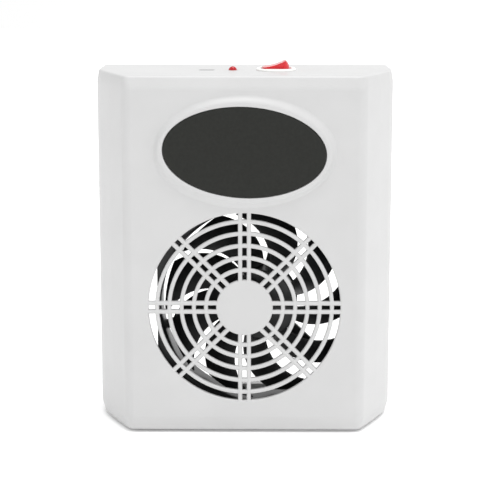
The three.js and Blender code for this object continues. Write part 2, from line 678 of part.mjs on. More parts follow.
// The rocker in its rest place: its left end is pressed in and its right end stands up.
// Its end faces are round about the pivot, so that they clear the well as it tips.
function switchRocker() {
  const reach = ROCKER_END_RADIUS;
  const cornerTurn = Math.asin(ROCKER_PRESSED_RISE / reach) + ROCKER_TILT;
  const cornerX = reach * Math.cos(cornerTurn);
  const cornerZ = reach * Math.sin(cornerTurn);
  const valley = cornerZ - cornerX * Math.tan(ROCKER_TILT);
  const section = new THREE.Shape();
  section.moveTo(-cornerX, cornerZ);
  section.quadraticCurveTo(-cornerX * 0.4, valley, 0, valley);
  section.quadraticCurveTo(cornerX * 0.4, valley, cornerX, cornerZ);
  section.lineTo(reach + 1, cornerZ - 1);
  section.lineTo(reach + 1, -1);
  section.lineTo(3.5, -5.2);
  section.lineTo(-3.5, -5.2);
  section.lineTo(-reach - 1, -1);
  section.lineTo(-reach - 1, cornerZ - 1);
  const profile = slabY(section, -ROCKER_HALF_WIDTH, ROCKER_HALF_WIDTH, 6);
  const ends = barY(0, 0, reach, -ROCKER_HALF_WIDTH - 1, ROCKER_HALF_WIDTH + 1, FINE);
  const round = barZ(0, 0, ROCKER_PLAN_RADIUS, -12, 12, MEDIUM);
  const trunnions = barY(0, 0, 1.15, -ROCKER_HALF_WIDTH - 1.1, ROCKER_HALF_WIDTH + 1.1, SMALL);
  const cavity = block([-2.2, -4, -8], [2.2, 4, -1.6]);
  const rocker = profile.intersect(ends).intersect(round).add(trunnions).subtract(cavity);
  const geometry = geometryOf(rocker);
  geometry.rotateY(-ROCKER_TILT);
  geometry.translate(SWITCH_X, CONTROL_Y, PIVOT_Z);
  return solid(geometry);
}

function switchTerminal(dx) {
  const x = SWITCH_X + dx;
  const top = TOP_Z - SWITCH_BARREL_DEPTH - 0.05;
  const blade = block([x - 0.4, CONTROL_Y - 2.4, top - 8], [x + 0.4, CONTROL_Y + 2.4, top]);
  const eye = new THREE.CylinderGeometry(0.9, 0.9, 4, SMALL);
  eye.rotateZ(Math.PI / 2);
  eye.translate(x, CONTROL_Y, top - 5.6);
  return blade.subtract(solid(eye));
}

function indicatorLed() {
  const radius = 2.45;
  const dome = TOP_Z + 2.1;
  const profile = [[0, dome - 8.6], [2.9, dome - 8.6], [2.9, dome - 7.6], [radius, dome - 7.6]];
  for (let i = 0; i <= 6; i += 1) {
    const turn = (i / 6) * (Math.PI / 2);
    profile.push([i === 6 ? 0 : radius * Math.cos(turn), dome - radius + radius * Math.sin(turn)]);
  }
  let lamp = turnedZ(profile, LED_X, CONTROL_Y);
  for (const x of [LED_X - 1.27, LED_X + 1.27]) {
    const low = [x - 0.25, CONTROL_Y - 0.25, BOARD.top + 0.05];
    lamp = lamp.add(block(low, [x + 0.25, CONTROL_Y + 0.25, dome - 8]));
  }
  return lamp;
}

function powerSocket() {
  const low = BOARD.top + 0.05;
  const high = TOP_Z - 0.9;
  const shell = slabZ(roundedRect(PORT_X, CONTROL_Y, 4.47, 1.6, 1.55), low, high);
  return shell.subtract(slabZ(roundedRect(PORT_X, CONTROL_Y, 4.15, 1.28, 1.25), low + 1, high + 1));
}

function socketTongue() {
  const low = BOARD.top + 1.35;
  const tongue = block([PORT_X - 3.3, CONTROL_Y - 0.35, low], [PORT_X + 3.3, CONTROL_Y + 0.35, TOP_Z - 2.1]);
  return tongue.add(block([PORT_X - 3.6, CONTROL_Y - 0.9, low], [PORT_X + 3.6, CONTROL_Y + 0.9, low + 1.8]));
}

function controlBoard() {
  const { x, width, depth, top, thickness } = BOARD;
  const plate = block([x - width / 2, CONTROL_Y - depth / 2, top - thickness],
    [x + width / 2, CONTROL_Y + depth / 2, top]);
  const holes = BOARD_SCREW_X.map((hx) => barZ(hx, CONTROL_Y, 1.5, top - 3, top + 1, SMALL));
  return plate.subtract(join(holes));
}

function boardScrew(x) {
  const seat = BOARD.top - BOARD.thickness - 0.05;
  return turnedZ([
    [0, seat - 1.3], [1.4, seat - 1.2], [2, seat - 0.7], [2, seat], [0.95, seat], [0.95, seat + 6.4],
    [0.4, seat + 7], [0, seat + 7],
  ], x, CONTROL_Y, SMALL);
}

function buildControls() {
  addNode('switch_body', switchBody(), whiteNylon);
  addNode('switch_rocker', switchRocker(), redPlastic);
  [-4.7, 4.7].forEach((dx, i) => addNode(`switch_terminal_${i + 1}`, switchTerminal(dx), brass));
  addNode('indicator_led', indicatorLed(), redPlastic);
  addNode('power_socket', powerSocket(), steel);
  addNode('socket_tongue', socketTongue(), blackPlastic);
  addNode('control_board', controlBoard(), greenBoard);
  BOARD_SCREW_X.forEach((x, i) => addNode(`board_screw_${i + 1}`, boardScrew(x), steel));
}

// ---------------------------------------------------------------- internal wires
// The fan's leads follow the upper strut, cross the frame's rear edge and rise to the board.
function fanLead(shift) {
  const angle = THREE.MathUtils.degToRad(STRUT_ANGLES[0]);
  const along = (radius, y) => [
    FAN_X + radius * Math.cos(angle) - shift * Math.sin(angle),
    y,
    FAN_Z + radius * Math.sin(angle) + shift * Math.cos(angle),
  ];
  const underBoard = BOARD.top - BOARD.thickness;
  return [
    along(14, FAN_BACK + 1.2),
    along(30, FAN_BACK + 1.3),
    along(48, FAN_BACK + 1.3),
    along(62, FAN_BACK + 1.6),
    [20 - shift, 4, 150],
    [6 - shift * 1.3, 6, 170],
    [-8 - shift * 1.5, 4, 184],
    [-12 - shift * 1.8, CONTROL_Y + 2, underBoard - 3],
    [-12 - shift * 1.8, CONTROL_Y + 2, underBoard - 0.4],
  ];
}

function switchLead(x, boardX, side) {
  const terminalZ = TOP_Z - SWITCH_BARREL_DEPTH - 8.5;
  const underBoard = BOARD.top - BOARD.thickness;
  return [
    [x, CONTROL_Y, terminalZ],
    [x - 0.6, CONTROL_Y + side, terminalZ - 4],
    [(x + boardX) / 2, CONTROL_Y + side * 3.5, terminalZ - 8],
    [boardX + 1, CONTROL_Y + side * 4.5, terminalZ - 3],
    [boardX, CONTROL_Y + side * 5, underBoard - 3],
    [boardX, CONTROL_Y + side * 5, underBoard - 0.4],
  ];
}

function buildWires() {
  const radius = 0.75;
  addNode('fan_wire_red', wire(fanLead(-1.1), radius), redWire);
  addNode('fan_wire_black', wire(fanLead(1.1), radius), blackWire);
  addNode('switch_wire_1', wire(switchLead(SWITCH_X - 4.7, -3, -1), radius), redWire);
  addNode('switch_wire_2', wire(switchLead(SWITCH_X + 4.7, -3, 1), radius), redWire);
}

buildHousing();
buildFan();
buildControls();
buildWires();

export default model;
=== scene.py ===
# %% [markdown]
# # A nail dust collector
#
# A white moulded housing stands on its lower edge. Dust is drawn in through the round grille
# in its front by a black axial fan, and leaves through the collar on its back, which takes a
# dust bag. A round rocker switch, a small red lamp and a low-voltage socket sit on the top.
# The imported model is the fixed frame: every piece made here goes where that model says.

# %% Load the frame
import json
import math

import bmesh
import bpy
from mathutils import Matrix, Vector

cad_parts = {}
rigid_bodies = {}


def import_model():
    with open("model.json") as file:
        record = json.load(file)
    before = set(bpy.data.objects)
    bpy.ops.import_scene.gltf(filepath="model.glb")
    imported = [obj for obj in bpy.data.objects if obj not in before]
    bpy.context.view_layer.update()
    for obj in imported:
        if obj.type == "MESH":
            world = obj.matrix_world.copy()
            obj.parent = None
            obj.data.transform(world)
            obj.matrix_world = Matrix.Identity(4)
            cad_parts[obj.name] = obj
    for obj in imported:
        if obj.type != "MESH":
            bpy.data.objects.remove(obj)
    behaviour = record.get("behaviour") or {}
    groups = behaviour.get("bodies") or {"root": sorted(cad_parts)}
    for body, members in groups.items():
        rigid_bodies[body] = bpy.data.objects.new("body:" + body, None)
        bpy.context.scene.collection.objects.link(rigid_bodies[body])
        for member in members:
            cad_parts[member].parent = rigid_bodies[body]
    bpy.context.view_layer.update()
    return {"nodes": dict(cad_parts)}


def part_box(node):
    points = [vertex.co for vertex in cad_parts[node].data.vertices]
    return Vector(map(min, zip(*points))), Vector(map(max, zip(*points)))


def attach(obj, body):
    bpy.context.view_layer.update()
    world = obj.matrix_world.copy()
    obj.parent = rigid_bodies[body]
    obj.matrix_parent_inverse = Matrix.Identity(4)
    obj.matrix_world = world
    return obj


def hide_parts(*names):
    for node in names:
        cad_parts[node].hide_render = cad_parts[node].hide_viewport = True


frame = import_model()
nodes = frame["nodes"]
MM = 0.001
print("nodes in the frame:", len(nodes))

# %% [markdown]
# ## Working with one object at a time
#
# Every edit starts the same way: deselect everything, select the one object, enter edit mode.
# Parts of a mesh are then picked by where they are or which way they face, as the eye does it
# by hand. Small helpers keep those steps short, and all of them take millimetres.

# %% Selection helpers
def only(*chosen):
    """Selects these objects alone and makes the last one active."""
    for other in bpy.context.view_layer.objects:
        other.select_set(False)
    for item in chosen:
        item.select_set(True)
    bpy.context.view_layer.objects.active = chosen[-1]
    return chosen[-1]


def edit(item):
    """Opens an object in edit mode with all of it selected."""
    only(item)
    bpy.ops.object.mode_set(mode="EDIT")
    bpy.ops.mesh.select_all(action="SELECT")


def leave():
    """Back to object mode."""
    bpy.ops.object.mode_set(mode="OBJECT")


def choose(item, kind, test):
    """Selects, in edit mode, only the parts whose middle (mm) and normal pass a test."""
    bpy.ops.mesh.select_mode(type=kind)
    bpy.ops.mesh.select_all(action="DESELECT")
    mesh = bmesh.from_edit_mesh(item.data)
    if kind == "EDGE":
        parts = [(e, (e.verts[0].co + e.verts[1].co) / 2, e.verts[0].normal) for e in mesh.edges]
    else:
        parts = [(f, f.calc_center_median(), f.normal) for f in mesh.faces]
    found = 0
    for part, middle, normal in parts:
        if test(middle / MM, normal):
            part.select_set(True)
            found += 1
    bmesh.update_edit_mesh(item.data)
    return found


# %% [markdown]
# ## Outlines, slabs and turned shapes
#
# Moulded parts are mostly outlines pushed to a depth, or profiles spun round an axis. An
# outline starts as a circle with one vertex for each corner, and the corners are then put in
# their places. `rounded` turns sharp corners into arcs, with a step every few degrees.

# %% Outline helpers
ARC_STEP = math.radians(8)


def rounded(corners, step=ARC_STEP):
    """Points of a closed outline whose corners (x, y, radius) become arcs."""
    points = []
    for i, (x, y, radius) in enumerate(corners):
        here = Vector((x, y))
        before = (Vector(corners[i - 1][:2]) - here).normalized()
        after = (Vector(corners[(i + 1) % len(corners)][:2]) - here).normalized()
        if radius == 0:
            points.append((x, y))
            continue
        half = before.angle(after) / 2
        centre = here + (before + after).normalized() * radius / math.sin(half)
        start = here + before * radius / math.tan(half) - centre
        end = here + after * radius / math.tan(half) - centre
        turn = math.atan2(end.y, end.x) - math.atan2(start.y, start.x)
        turn = (turn + math.pi) % (2 * math.pi) - math.pi
        count = max(1, math.ceil(abs(turn) / step))
        for k in range(count + 1):
            angle = math.atan2(start.y, start.x) + turn * k / count
            points.append((centre.x + radius * math.cos(angle), centre.y + radius * math.sin(angle)))
    return points


def rounded_rect(cx, cy, half_width, half_height, radius):
    """A rectangle with round corners, counter-clockwise."""
    signs = [(-1, -1), (1, -1), (1, 1), (-1, 1)]
    return rounded([(cx + sx * half_width, cy + sy * half_height, radius) for sx, sy in signs])


def ellipse(cx, cy, half_width, half_height, tilt=0.0, sides=144):
    """An ellipse turned by a tilt in radians."""
    points = []
    for k in range(sides):
        u = half_width * math.cos(2 * math.pi * k / sides)
        v = half_height * math.sin(2 * math.pi * k / sides)
        x = cx + u * math.cos(tilt) - v * math.sin(tilt)
        points.append((x, cy + u * math.sin(tilt) + v * math.cos(tilt)))
    return points


def quarter(steps):
    """The sine and cosine at equal steps of a quarter turn."""
    turns = [math.pi / 2 * k / steps for k in range(steps + 1)]
    return [(math.sin(turn), math.cos(turn)) for turn in turns]


def loop(name, points, plane, at, filled=True):
    """A closed loop of vertices in the XY or XZ plane, as one face or as bare edges."""
    bpy.ops.object.select_all(action="DESELECT")
    fill = "NGON" if filled else "NOTHING"
    bpy.ops.mesh.primitive_circle_add(vertices=len(points), fill_type=fill)
    item = bpy.context.object
    item.name = name
    for vertex, (u, v) in zip(item.data.vertices, points):
        vertex.co = Vector((u, v, at) if plane == "XY" else (u, at, v)) * MM
    return item


def slab(name, points, plane, low, high):
    """An outline extruded from one height to another, across its plane."""
    item = loop(name, points, plane, low)
    edit(item)
    depth = (high - low) * MM
    move = (0, 0, depth) if plane == "XY" else (0, depth, 0)
    bpy.ops.mesh.extrude_region_move(TRANSFORM_OT_translate={"value": move})
    bpy.ops.mesh.select_all(action="SELECT")
    bpy.ops.mesh.normals_make_consistent(inside=False)
    leave()
    return item


def turned(name, profile, centre, axis, steps=96, closed=True):
    """A profile of (radius, height) points spun once round the Y or Z axis through a centre."""
    cx, cy, cz = centre
    plane, at = ("XY", cz) if axis == "Y" else ("XZ", cy)
    item = loop(name, [(cx + r, h) for r, h in profile], plane, at, filled=False)
    edit(item)
    if not closed:
        mesh = bmesh.from_edit_mesh(item.data)
        mesh.verts.ensure_lookup_table()
        bpy.ops.mesh.select_mode(type="EDGE")
        bpy.ops.mesh.select_all(action="DESELECT")
        mesh.edges.get([mesh.verts[0], mesh.verts[-1]]).select_set(True)
        bmesh.update_edit_mesh(item.data)
        bpy.ops.mesh.delete(type="EDGE")
        bpy.ops.mesh.select_mode(type="VERT")
        bpy.ops.mesh.select_all(action="SELECT")
    turn_axis = (0, 1, 0) if axis == "Y" else (0, 0, 1)
    bpy.ops.mesh.spin(steps=steps, angle=2 * math.pi, center=Vector(centre) * MM, axis=turn_axis)
    bpy.ops.mesh.select_all(action="SELECT")
    bpy.ops.mesh.remove_doubles(threshold=0.002 * MM)
    bpy.ops.mesh.normals_make_consistent(inside=False)
    leave()
    return item


def rod(name, radius, low, high, centre, axis, steps=32):
    """A plain round bar, to cut a hole with or to make a pin."""
    profile = [(0, low), (radius, low), (radius, high), (0, high)]
    return turned(name, profile, centre, axis, steps, closed=False)


def bridged(name, rings, plane):
    """Bridges a stack of (points, height) rings into one skin and caps both ends."""
    loops = [loop(f"{name}_{i}", ring, plane, at, filled=False) for i, (ring, at) in enumerate(rings)]
    item = only(*loops)
    bpy.ops.object.join()
    item.name = name
    edit(item)
    bpy.ops.mesh.bridge_edge_loops()
    axis = 2 if plane == "XY" else 1
    for height in (rings[0][1], rings[-1][1]):
        choose(item, "EDGE", lambda m, n: abs(m[axis] - height) < 0.001)
        bpy.ops.mesh.edge_face_add()
    bpy.ops.mesh.select_all(action="SELECT")
    bpy.ops.mesh.normals_make_consistent(inside=False)
    leave()
    return item


# %% [markdown]
# ## Cutting, joining and softening
#
# A mould leaves no knife edges, so each shape gets a small bevel. Holes and joints are
# booleans, applied at once so that the finished mesh is plain geometry.

# %% Shape helpers
def apply(item, modifier):
    """Applies one modifier."""
    only(item)
    bpy.ops.object.modifier_apply(modifier=modifier.name)


def combine(item, tool, how, crossing=False):
    """Joins or cuts with another shape, which is used up. crossing lets the tool cross itself."""
    modifier = item.modifiers.new("boolean", "BOOLEAN")
    modifier.operation = how
    modifier.solver = "EXACT"
    modifier.use_self = crossing
    modifier.object = tool
    apply(item, modifier)
    bpy.data.objects.remove(tool)
    return item


def tidy(item, reach=0.002):
    """Merges doubled vertices and drops faces without area, as booleans and curves leave."""
    edit(item)
    bpy.ops.mesh.remove_doubles(threshold=reach * MM)
    bpy.ops.mesh.select_all(action="SELECT")
    bpy.ops.mesh.dissolve_degenerate(threshold=reach * MM)
    leave()
    return item


def soften(item, width, segments=3, angle=30):
    """Rounds every edge that turns by more than an angle."""
    modifier = item.modifiers.new("soft edges", "BEVEL")
    modifier.width = width * MM
    modifier.segments = segments
    modifier.limit_method = "ANGLE"
    modifier.angle_limit = math.radians(angle)
    modifier.use_clamp_overlap = False
    apply(item, modifier)
    return item


def copy_of(item, name, matrix=None):
    """A copy with its own mesh, moved by a matrix in metres."""
    twin = item.copy()
    twin.data = item.data.copy()
    twin.name = name
    bpy.context.scene.collection.objects.link(twin)
    if matrix is not None:
        twin.data.transform(matrix)
    return twin


def joined(name, items):
    """Several objects as one, without merging their surfaces."""
    item = only(*items)
    bpy.ops.object.join()
    item.name = name
    return item


def middle(node):
    """The centre of a node's box, in mm."""
    low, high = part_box(node)
    return (low + high) / 2 / MM


def about(x, y, z, degrees, axis):
    """The matrix that turns by an angle about an axis through a point in mm."""
    place = Matrix.Translation(Vector((x, y, z)) * MM)
    return place @ Matrix.Rotation(math.radians(degrees), 4, axis) @ place.inverted()


def hand_over(item, body, slot, material, *stands_for, angle=35):
    """Smooths the shading, gives the finish, ties the piece to its body and hides the nodes it stands for."""
    only(item)
    bpy.ops.object.transform_apply(location=True, rotation=True, scale=True)
    bpy.ops.object.shade_smooth_by_angle(angle=math.radians(angle))
    modifier = item.modifiers.new("even shading", "WEIGHTED_NORMAL")
    modifier.keep_sharp = True
    apply(item, modifier)
    item.data.materials.clear()
    item.data.materials.append(material)
    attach(item, body)
    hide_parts(*stands_for)
    print(item.name, "faces:", len(item.data.polygons))
    return item


# %% [markdown]
# ## Finishes
#
# Each material is named for what the real part is made of and how its surface was made. The
# colour is an sRGB hex value turned to linear once. Patterns use Object coordinates, which are
# in metres, so the scale of a grain is one over its real size.

# %% Material helpers
def linear(code):
    """An sRGB hex colour as a linear RGBA colour."""
    values = [int(code[i:i + 2], 16) / 255 for i in (1, 3, 5)]
    return [v / 12.92 if v <= 0.04045 else ((v + 0.055) / 1.055) ** 2.4 for v in values] + [1]


def per(size_mm):
    """The texture scale that repeats about once every so many millimetres."""
    return 1 / (size_mm * MM)


def add_node(tree, kind, inputs=None, **settings):
    """Adds one shader node, with its settings, and its inputs as values or links."""
    node = tree.nodes.new(kind)
    for name, value in settings.items():
        setattr(node, name, value)
    for name, value in (inputs or {}).items():
        if isinstance(value, bpy.types.NodeSocket):
            tree.links.new(value, node.inputs[name])
        else:
            node.inputs[name].default_value = value
    return node


def start_material(name, **values):
    """A new material, with values set on its shader, and its tree, shader and coordinates."""
    material = bpy.data.materials.new(name)
    material.use_nodes = True
    tree = material.node_tree
    shader = tree.nodes["Principled BSDF"]
    for socket, value in values.items():
        shader.inputs[socket.replace("_", " ")].default_value = value
    place = add_node(tree, "ShaderNodeTexCoord").outputs["Object"]
    return material, tree, shader, place


def between(tree, factor, low, high):
    """A colour that goes from one to another as the factor goes from 0 to 1."""
    ramp = add_node(tree, "ShaderNodeValToRGB", {"Fac": factor})
    ramp.color_ramp.elements[0].position = 0.3
    ramp.color_ramp.elements[1].position = 0.7
    ramp.color_ramp.elements[0].color = low
    ramp.color_ramp.elements[1].color = high
    return ramp.outputs["Color"]


def grey(value):
    """A grey as RGBA, for a roughness that varies."""
    return [value, value, value, 1]


def moulded(name, colour, darker, roughness, grain_mm, relief_mm, ior):
    """Injection-moulded plastic: faint flow mottling and the fine grain of an eroded mould."""
    material, tree, shader, place = start_material(name, IOR=ior)
    flow = add_node(tree, "ShaderNodeTexNoise", {"Vector": place, "Scale": per(22), "Detail": 3})
    tint = between(tree, flow.outputs["Fac"], linear(darker), linear(colour))
    grain = add_node(tree, "ShaderNodeTexNoise", {"Vector": place, "Scale": per(grain_mm), "Detail": 4})
    gloss = between(tree, grain.outputs["Fac"], grey(roughness - 0.05), grey(roughness + 0.06))
    bump = add_node(tree, "ShaderNodeBump", {
        "Height": grain.outputs["Fac"], "Strength": 0.35, "Distance": relief_mm * MM})
    tree.links.new(tint, shader.inputs["Base Color"])
    tree.links.new(gloss, shader.inputs["Roughness"])
    tree.links.new(bump.outputs["Normal"], shader.inputs["Normal"])
    return material


def worked_metal(name, colour, darker, roughness, pattern, stretch, depth_mm):
    """Metal whose fine marks run along the directions that stretch leaves long."""
    material, tree, shader, place = start_material(name, Metallic=1.0)
    aligned = add_node(tree, "ShaderNodeMapping", {"Vector": place, "Scale": stretch})
    marks = add_node(tree, "ShaderNodeTexNoise", {
        "Vector": aligned.outputs["Vector"], "Scale": per(pattern), "Detail": 5})
    tint = between(tree, marks.outputs["Fac"], linear(darker), linear(colour))
    gloss = between(tree, marks.outputs["Fac"], grey(roughness - 0.07), grey(roughness + 0.1))
    bump = add_node(tree, "ShaderNodeBump", {
        "Height": marks.outputs["Fac"], "Strength": 0.4, "Distance": depth_mm * MM})
    tree.links.new(tint, shader.inputs["Base Color"])
    tree.links.new(gloss, shader.inputs["Roughness"])
    tree.links.new(bump.outputs["Normal"], shader.inputs["Normal"])
    return material


# %% [markdown]
# The housing and back cover are injection-moulded ABS, white with a soft sheen. Spark-eroded
# moulds leave a grain of about 0.1 mm; it is drawn at 0.5 mm so that it can show. The fan is
# glass-filled PBT: black, and a little rough where the fibres reach the surface. The switch's
# nylon is whiter and smoother than the ABS. Rubber feet are matt.

# %% Moulded plastics
abs_white = moulded("eroded_mould_white_abs", "#C2C2C2", "#BFBFBF", 0.42, 0.5, 0.02, 1.53)
pbt_black = moulded("glass_filled_black_pbt", "#1B1C1D", "#151617", 0.42, 0.8, 0.03, 1.55)
nylon_white = moulded("smooth_moulded_white_nylon", "#F0F0EE", "#EDEDEA", 0.32, 0.6, 0.01, 1.53)
rubber_black = moulded("moulded_black_rubber", "#1E1E1E", "#171717", 0.75, 0.7, 0.04, 1.52)
pvc_red = moulded("extruded_red_pvc", "#B3201E", "#A81C1B", 0.4, 1.2, 0.01, 1.53)
pvc_black = moulded("extruded_black_pvc", "#18181A", "#121214", 0.4, 1.2, 0.01, 1.53)
lcp_black = moulded("moulded_black_lcp", "#202022", "#19191B", 0.5, 0.4, 0.02, 1.6)
print("plastics ready")

# %% [markdown]
# Screws are zinc-plated: bright, with fine marks. The socket's shell is drawn steel, coloured darker
# as painted shade, so that its slot looks like a shaded opening. The fan's shaft is ground, so its
# marks run round it. Stator plates are cut from sheet 0.5 mm thick, and show as stripes; windings
# show as turns of wire about 0.4 mm thick.

# %% Metals
screw_zinc = worked_metal("zinc_plated_screw_steel", "#C9CCD0", "#A9ADB3", 0.3, 0.7, (1, 1, 1), 0.02)
nickel = worked_metal("nickel_plated_drawn_steel", "#D6D5CF", "#C2C0B8", 0.22, 0.6, (1, 1, 0.1), 0.01)
# The socket shell's darker colour is painted shade for the inside of its slot.
shade_darkened_socket_steel = worked_metal("shade_darkened_drawn_steel", "#77797C", "#66686B", 0.45, 0.6, (1, 1, 0.1), 0.01)
ground_steel = worked_metal("ground_shaft_steel", "#CFD1D4", "#B9BCC0", 0.18, 0.3, (0.1, 6, 0.1), 0.004)
brass = worked_metal("stamped_brass", "#D8B25A", "#C19A45", 0.28, 0.5, (1, 1, 0.2), 0.01)


def striped(name, metallic, roughness, light, dark, pitch_mm, direction, relief_mm):
    """Fine parallel ridges at a real pitch, such as sheet edges or turns of wire."""
    material, tree, shader, place = start_material(name, Metallic=metallic, Roughness=roughness)
    wave = add_node(tree, "ShaderNodeTexWave", {
        "Vector": place, "Scale": per(pitch_mm) / 10, "Distortion": 0.6,
        "Detail": 2, "Detail Scale": 2}, bands_direction=direction, wave_profile="SIN")
    tint = between(tree, wave.outputs["Fac"], linear(dark), linear(light))
    bump = add_node(tree, "ShaderNodeBump", {
        "Height": wave.outputs["Fac"], "Strength": 0.8, "Distance": relief_mm * MM})
    tree.links.new(tint, shader.inputs["Base Color"])
    tree.links.new(bump.outputs["Normal"], shader.inputs["Normal"])
    return material


lamination = striped("stacked_lamination_steel", 1.0, 0.45, "#9FA3A8", "#5F6368", 0.5, "Y", 0.03)
copper = striped("wound_enamelled_copper", 1.0, 0.25, "#C8702F", "#7E3D16", 0.4, "DIAGONAL", 0.08)
ferrite = moulded("sintered_ferrite", "#3A3B3E", "#2B2C2F", 0.6, 0.5, 0.05, 1.9)
print("metals ready")

# %% [markdown]
# The badge is a dark plate with a satin printed face and no lettering. Its ink shows as a very
# faint mottle of about a millimetre. The rocker and the lamp are tinted red plastic that lets a
# little light through. The board's green solder mask lies over copper tracks, which show as
# slightly lighter lines.

# %% Badge, clear plastics and board
def printed_plate():
    """Satin ink on a thin plate."""
    material, tree, shader, place = start_material("satin_printed_plate", IOR=1.5, Specular_IOR_Level=0.22)
    mottle = add_node(tree, "ShaderNodeTexNoise", {"Vector": place, "Scale": per(1.6), "Detail": 6})
    tint = between(tree, mottle.outputs["Fac"], linear("#1C1D1A"), linear("#222320"))
    gloss = between(tree, mottle.outputs["Fac"], grey(0.46), grey(0.54))
    bump = add_node(tree, "ShaderNodeBump", {
        "Height": mottle.outputs["Fac"], "Strength": 0.3, "Distance": 0.02 * MM})
    tree.links.new(tint, shader.inputs["Base Color"])
    tree.links.new(gloss, shader.inputs["Roughness"])
    tree.links.new(bump.outputs["Normal"], shader.inputs["Normal"])
    return material


def clear_red(name, colour, darker, roughness, clearness):
    """Tinted clear plastic with faint flow lines."""
    material, tree, shader, place = start_material(name, IOR=1.5, Transmission_Weight=clearness)
    flow = add_node(tree, "ShaderNodeTexNoise", {"Vector": place, "Scale": per(3), "Detail": 2})
    tint = between(tree, flow.outputs["Fac"], linear(darker), linear(colour))
    gloss = between(tree, flow.outputs["Fac"], grey(roughness), grey(roughness + 0.05))
    tree.links.new(tint, shader.inputs["Base Color"])
    tree.links.new(gloss, shader.inputs["Roughness"])
    return material


def solder_mask():
    """Green mask over a mesh of copper tracks 1.3 mm apart."""
    material, tree, shader, place = start_material("green_solder_mask_board", Roughness=0.3, IOR=1.55)
    cells = add_node(tree, "ShaderNodeTexBrick", {
        "Vector": place, "Scale": per(2.6) / 2, "Color1": linear("#12633A"), "Color2": linear("#0E5732"),
        "Mortar": linear("#2C8A58"), "Mortar Size": 0.06, "Mortar Smooth": 0.1})
    bump = add_node(tree, "ShaderNodeBump", {
        "Height": cells.outputs["Fac"], "Strength": 0.5, "Distance": 0.035 * MM})
    tree.links.new(cells.outputs["Color"], shader.inputs["Base Color"])
    tree.links.new(bump.outputs["Normal"], shader.inputs["Normal"])
    return material


badge_satin = printed_plate()
rocker_red = clear_red("moulded_clear_red_polycarbonate", "#E80A1E", "#D80718", 0.08, 0.25)
lamp_red = clear_red("cast_clear_red_epoxy", "#C40418", "#B80314", 0.06, 0.2)
board_green = solder_mask()
print("materials:", len(bpy.data.materials))

# %% [markdown]
# ## The housing's plan
#
# Seen from above, the housing has a flat front with large soft corners, sides that flare out
# towards the back, and a nearly straight run to the back cover. The half outline below is
# mirrored, and the same list, brought in by the wall's thickness, gives the hollow inside.

# %% Housing sizes
WALL = 2.5
FRONT_Y, SHELL_BACK_Y, COVER_BACK_Y = -35, 30.7, 33
BASE_Z, TOP_Z = 1.5, 208
HALF_PLAN = [(67.9, FRONT_Y, 7), (77.6, -15.6, 30), (84, -1.5, 20), (86.1, 5, 8), (86.5, 11, 8)]
BACK_HALF = 85.4
SIDE_INSET = 1.08  # how much faster the slanting sides come in than the front


def plan(inset, back_y, side=None):
    """The housing's outline from above, its front and its sides brought in by a distance."""
    side = inset * SIDE_INSET if side is None else side
    half = [(BACK_HALF - side, back_y, 0)]
    half += [(x - side, y, max(r - inset, 1)) for x, y, r in reversed(HALF_PLAN)]
    half[-1] = (half[-1][0] + inset / 2, FRONT_Y + inset, half[-1][2])
    mirrored = [(-x, y, r) for x, y, r in reversed(half)]
    return rounded(half + mirrored)


print("outline corners:", len(plan(0, SHELL_BACK_Y)))

# %% [markdown]
# The solid block is a stack of four outlines bridged into one skin: the lowest and the highest
# are brought in a little, so that the top and bottom edges slant all round. A bevel then
# softens every edge at once.

# %% The outer block
LOW_BEND, HIGH_BEND = BASE_Z + 7.7, TOP_Z - 7


def block(name, back_y, stack):
    """A stack of outlines, each with its height, front inset and side inset, as one block."""
    return bridged(name, [(plan(inset, back_y, side), z) for z, inset, side in stack], "XY")


outside = [(BASE_Z, 2.0, 2.1), (LOW_BEND, 0, 0), (HIGH_BEND, 0, 0), (TOP_Z, 2.5, 1.1)]
shell = soften(block("housing_shell", SHELL_BACK_Y, outside), 1.3, segments=4, angle=12)
print("block faces:", len(shell.data.polygons))

# %% [markdown]
# The hollow is a second block, one wall smaller and open at the back. Inside stand the posts
# that carry the fan, the bosses for the cover's screws, and two bosses over the board.

# %% The hollow and its bosses
inside = [(BASE_Z + WALL, WALL + 1.35, 4.1), (LOW_BEND, WALL, 2.7), (HIGH_BEND, WALL, 2.7),
          (TOP_Z - WALL, WALL + 1.6, 3.5)]
hollow = soften(block("hollow", SHELL_BACK_Y + 3, inside), 0.8, segments=2, angle=40)
combine(shell, hollow, "DIFFERENCE")

CONTROL_Y = 1
FAN_X, _, FAN_Z = middle("fan_frame")
FAN_FRONT, FAN_BACK = (corner.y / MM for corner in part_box("fan_frame"))
FAN_HOLE = 52.5
fan_holes = [(FAN_X + sx * FAN_HOLE, FAN_Z + sz * FAN_HOLE) for sx in (-1, 1) for sz in (-1, 1)]
cover_screws = [middle(f"cover_screw_{i}") for i in range(1, 5)]
board_screws = [middle(f"board_screw_{i}") for i in (1, 2)]
BOARD_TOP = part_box("control_board")[1].z / MM


def tube_profile(inner, outer, low, high, edge=0.4):
    """A pipe's section with softened ends."""
    return [(inner, low), (outer - edge, low), (outer, low + edge), (outer, high - edge),
            (outer - edge, high), (inner, high)]


tubes = []
for x, z in fan_holes:
    profile = tube_profile(2.0, 4.5, FRONT_Y + 2, FAN_FRONT - 0.3)
    tubes.append(turned("fan_post", profile, (x, 0, z), "Y", 32))
for place in cover_screws:
    profile = tube_profile(1.8, 4.6, SHELL_BACK_Y - 30, SHELL_BACK_Y)
    tubes.append(turned("cover_boss", profile, (place.x, 0, place.z), "Y", 32))
for place in board_screws:
    profile = tube_profile(1.2, 2.7, BOARD_TOP + 0.3, TOP_Z - 1)
    tubes.append(turned("board_boss", profile, (place.x, place.y, 0), "Z", 24))
combine(shell, joined("bosses", tubes), "UNION")
print("shell faces with bosses:", len(shell.data.polygons))

# %% [markdown]
# ## Holes in the top
#
# The top wall has an oval hole for the power socket, a round one for the lamp and a large
# round one for the switch, each with a small soft edge.

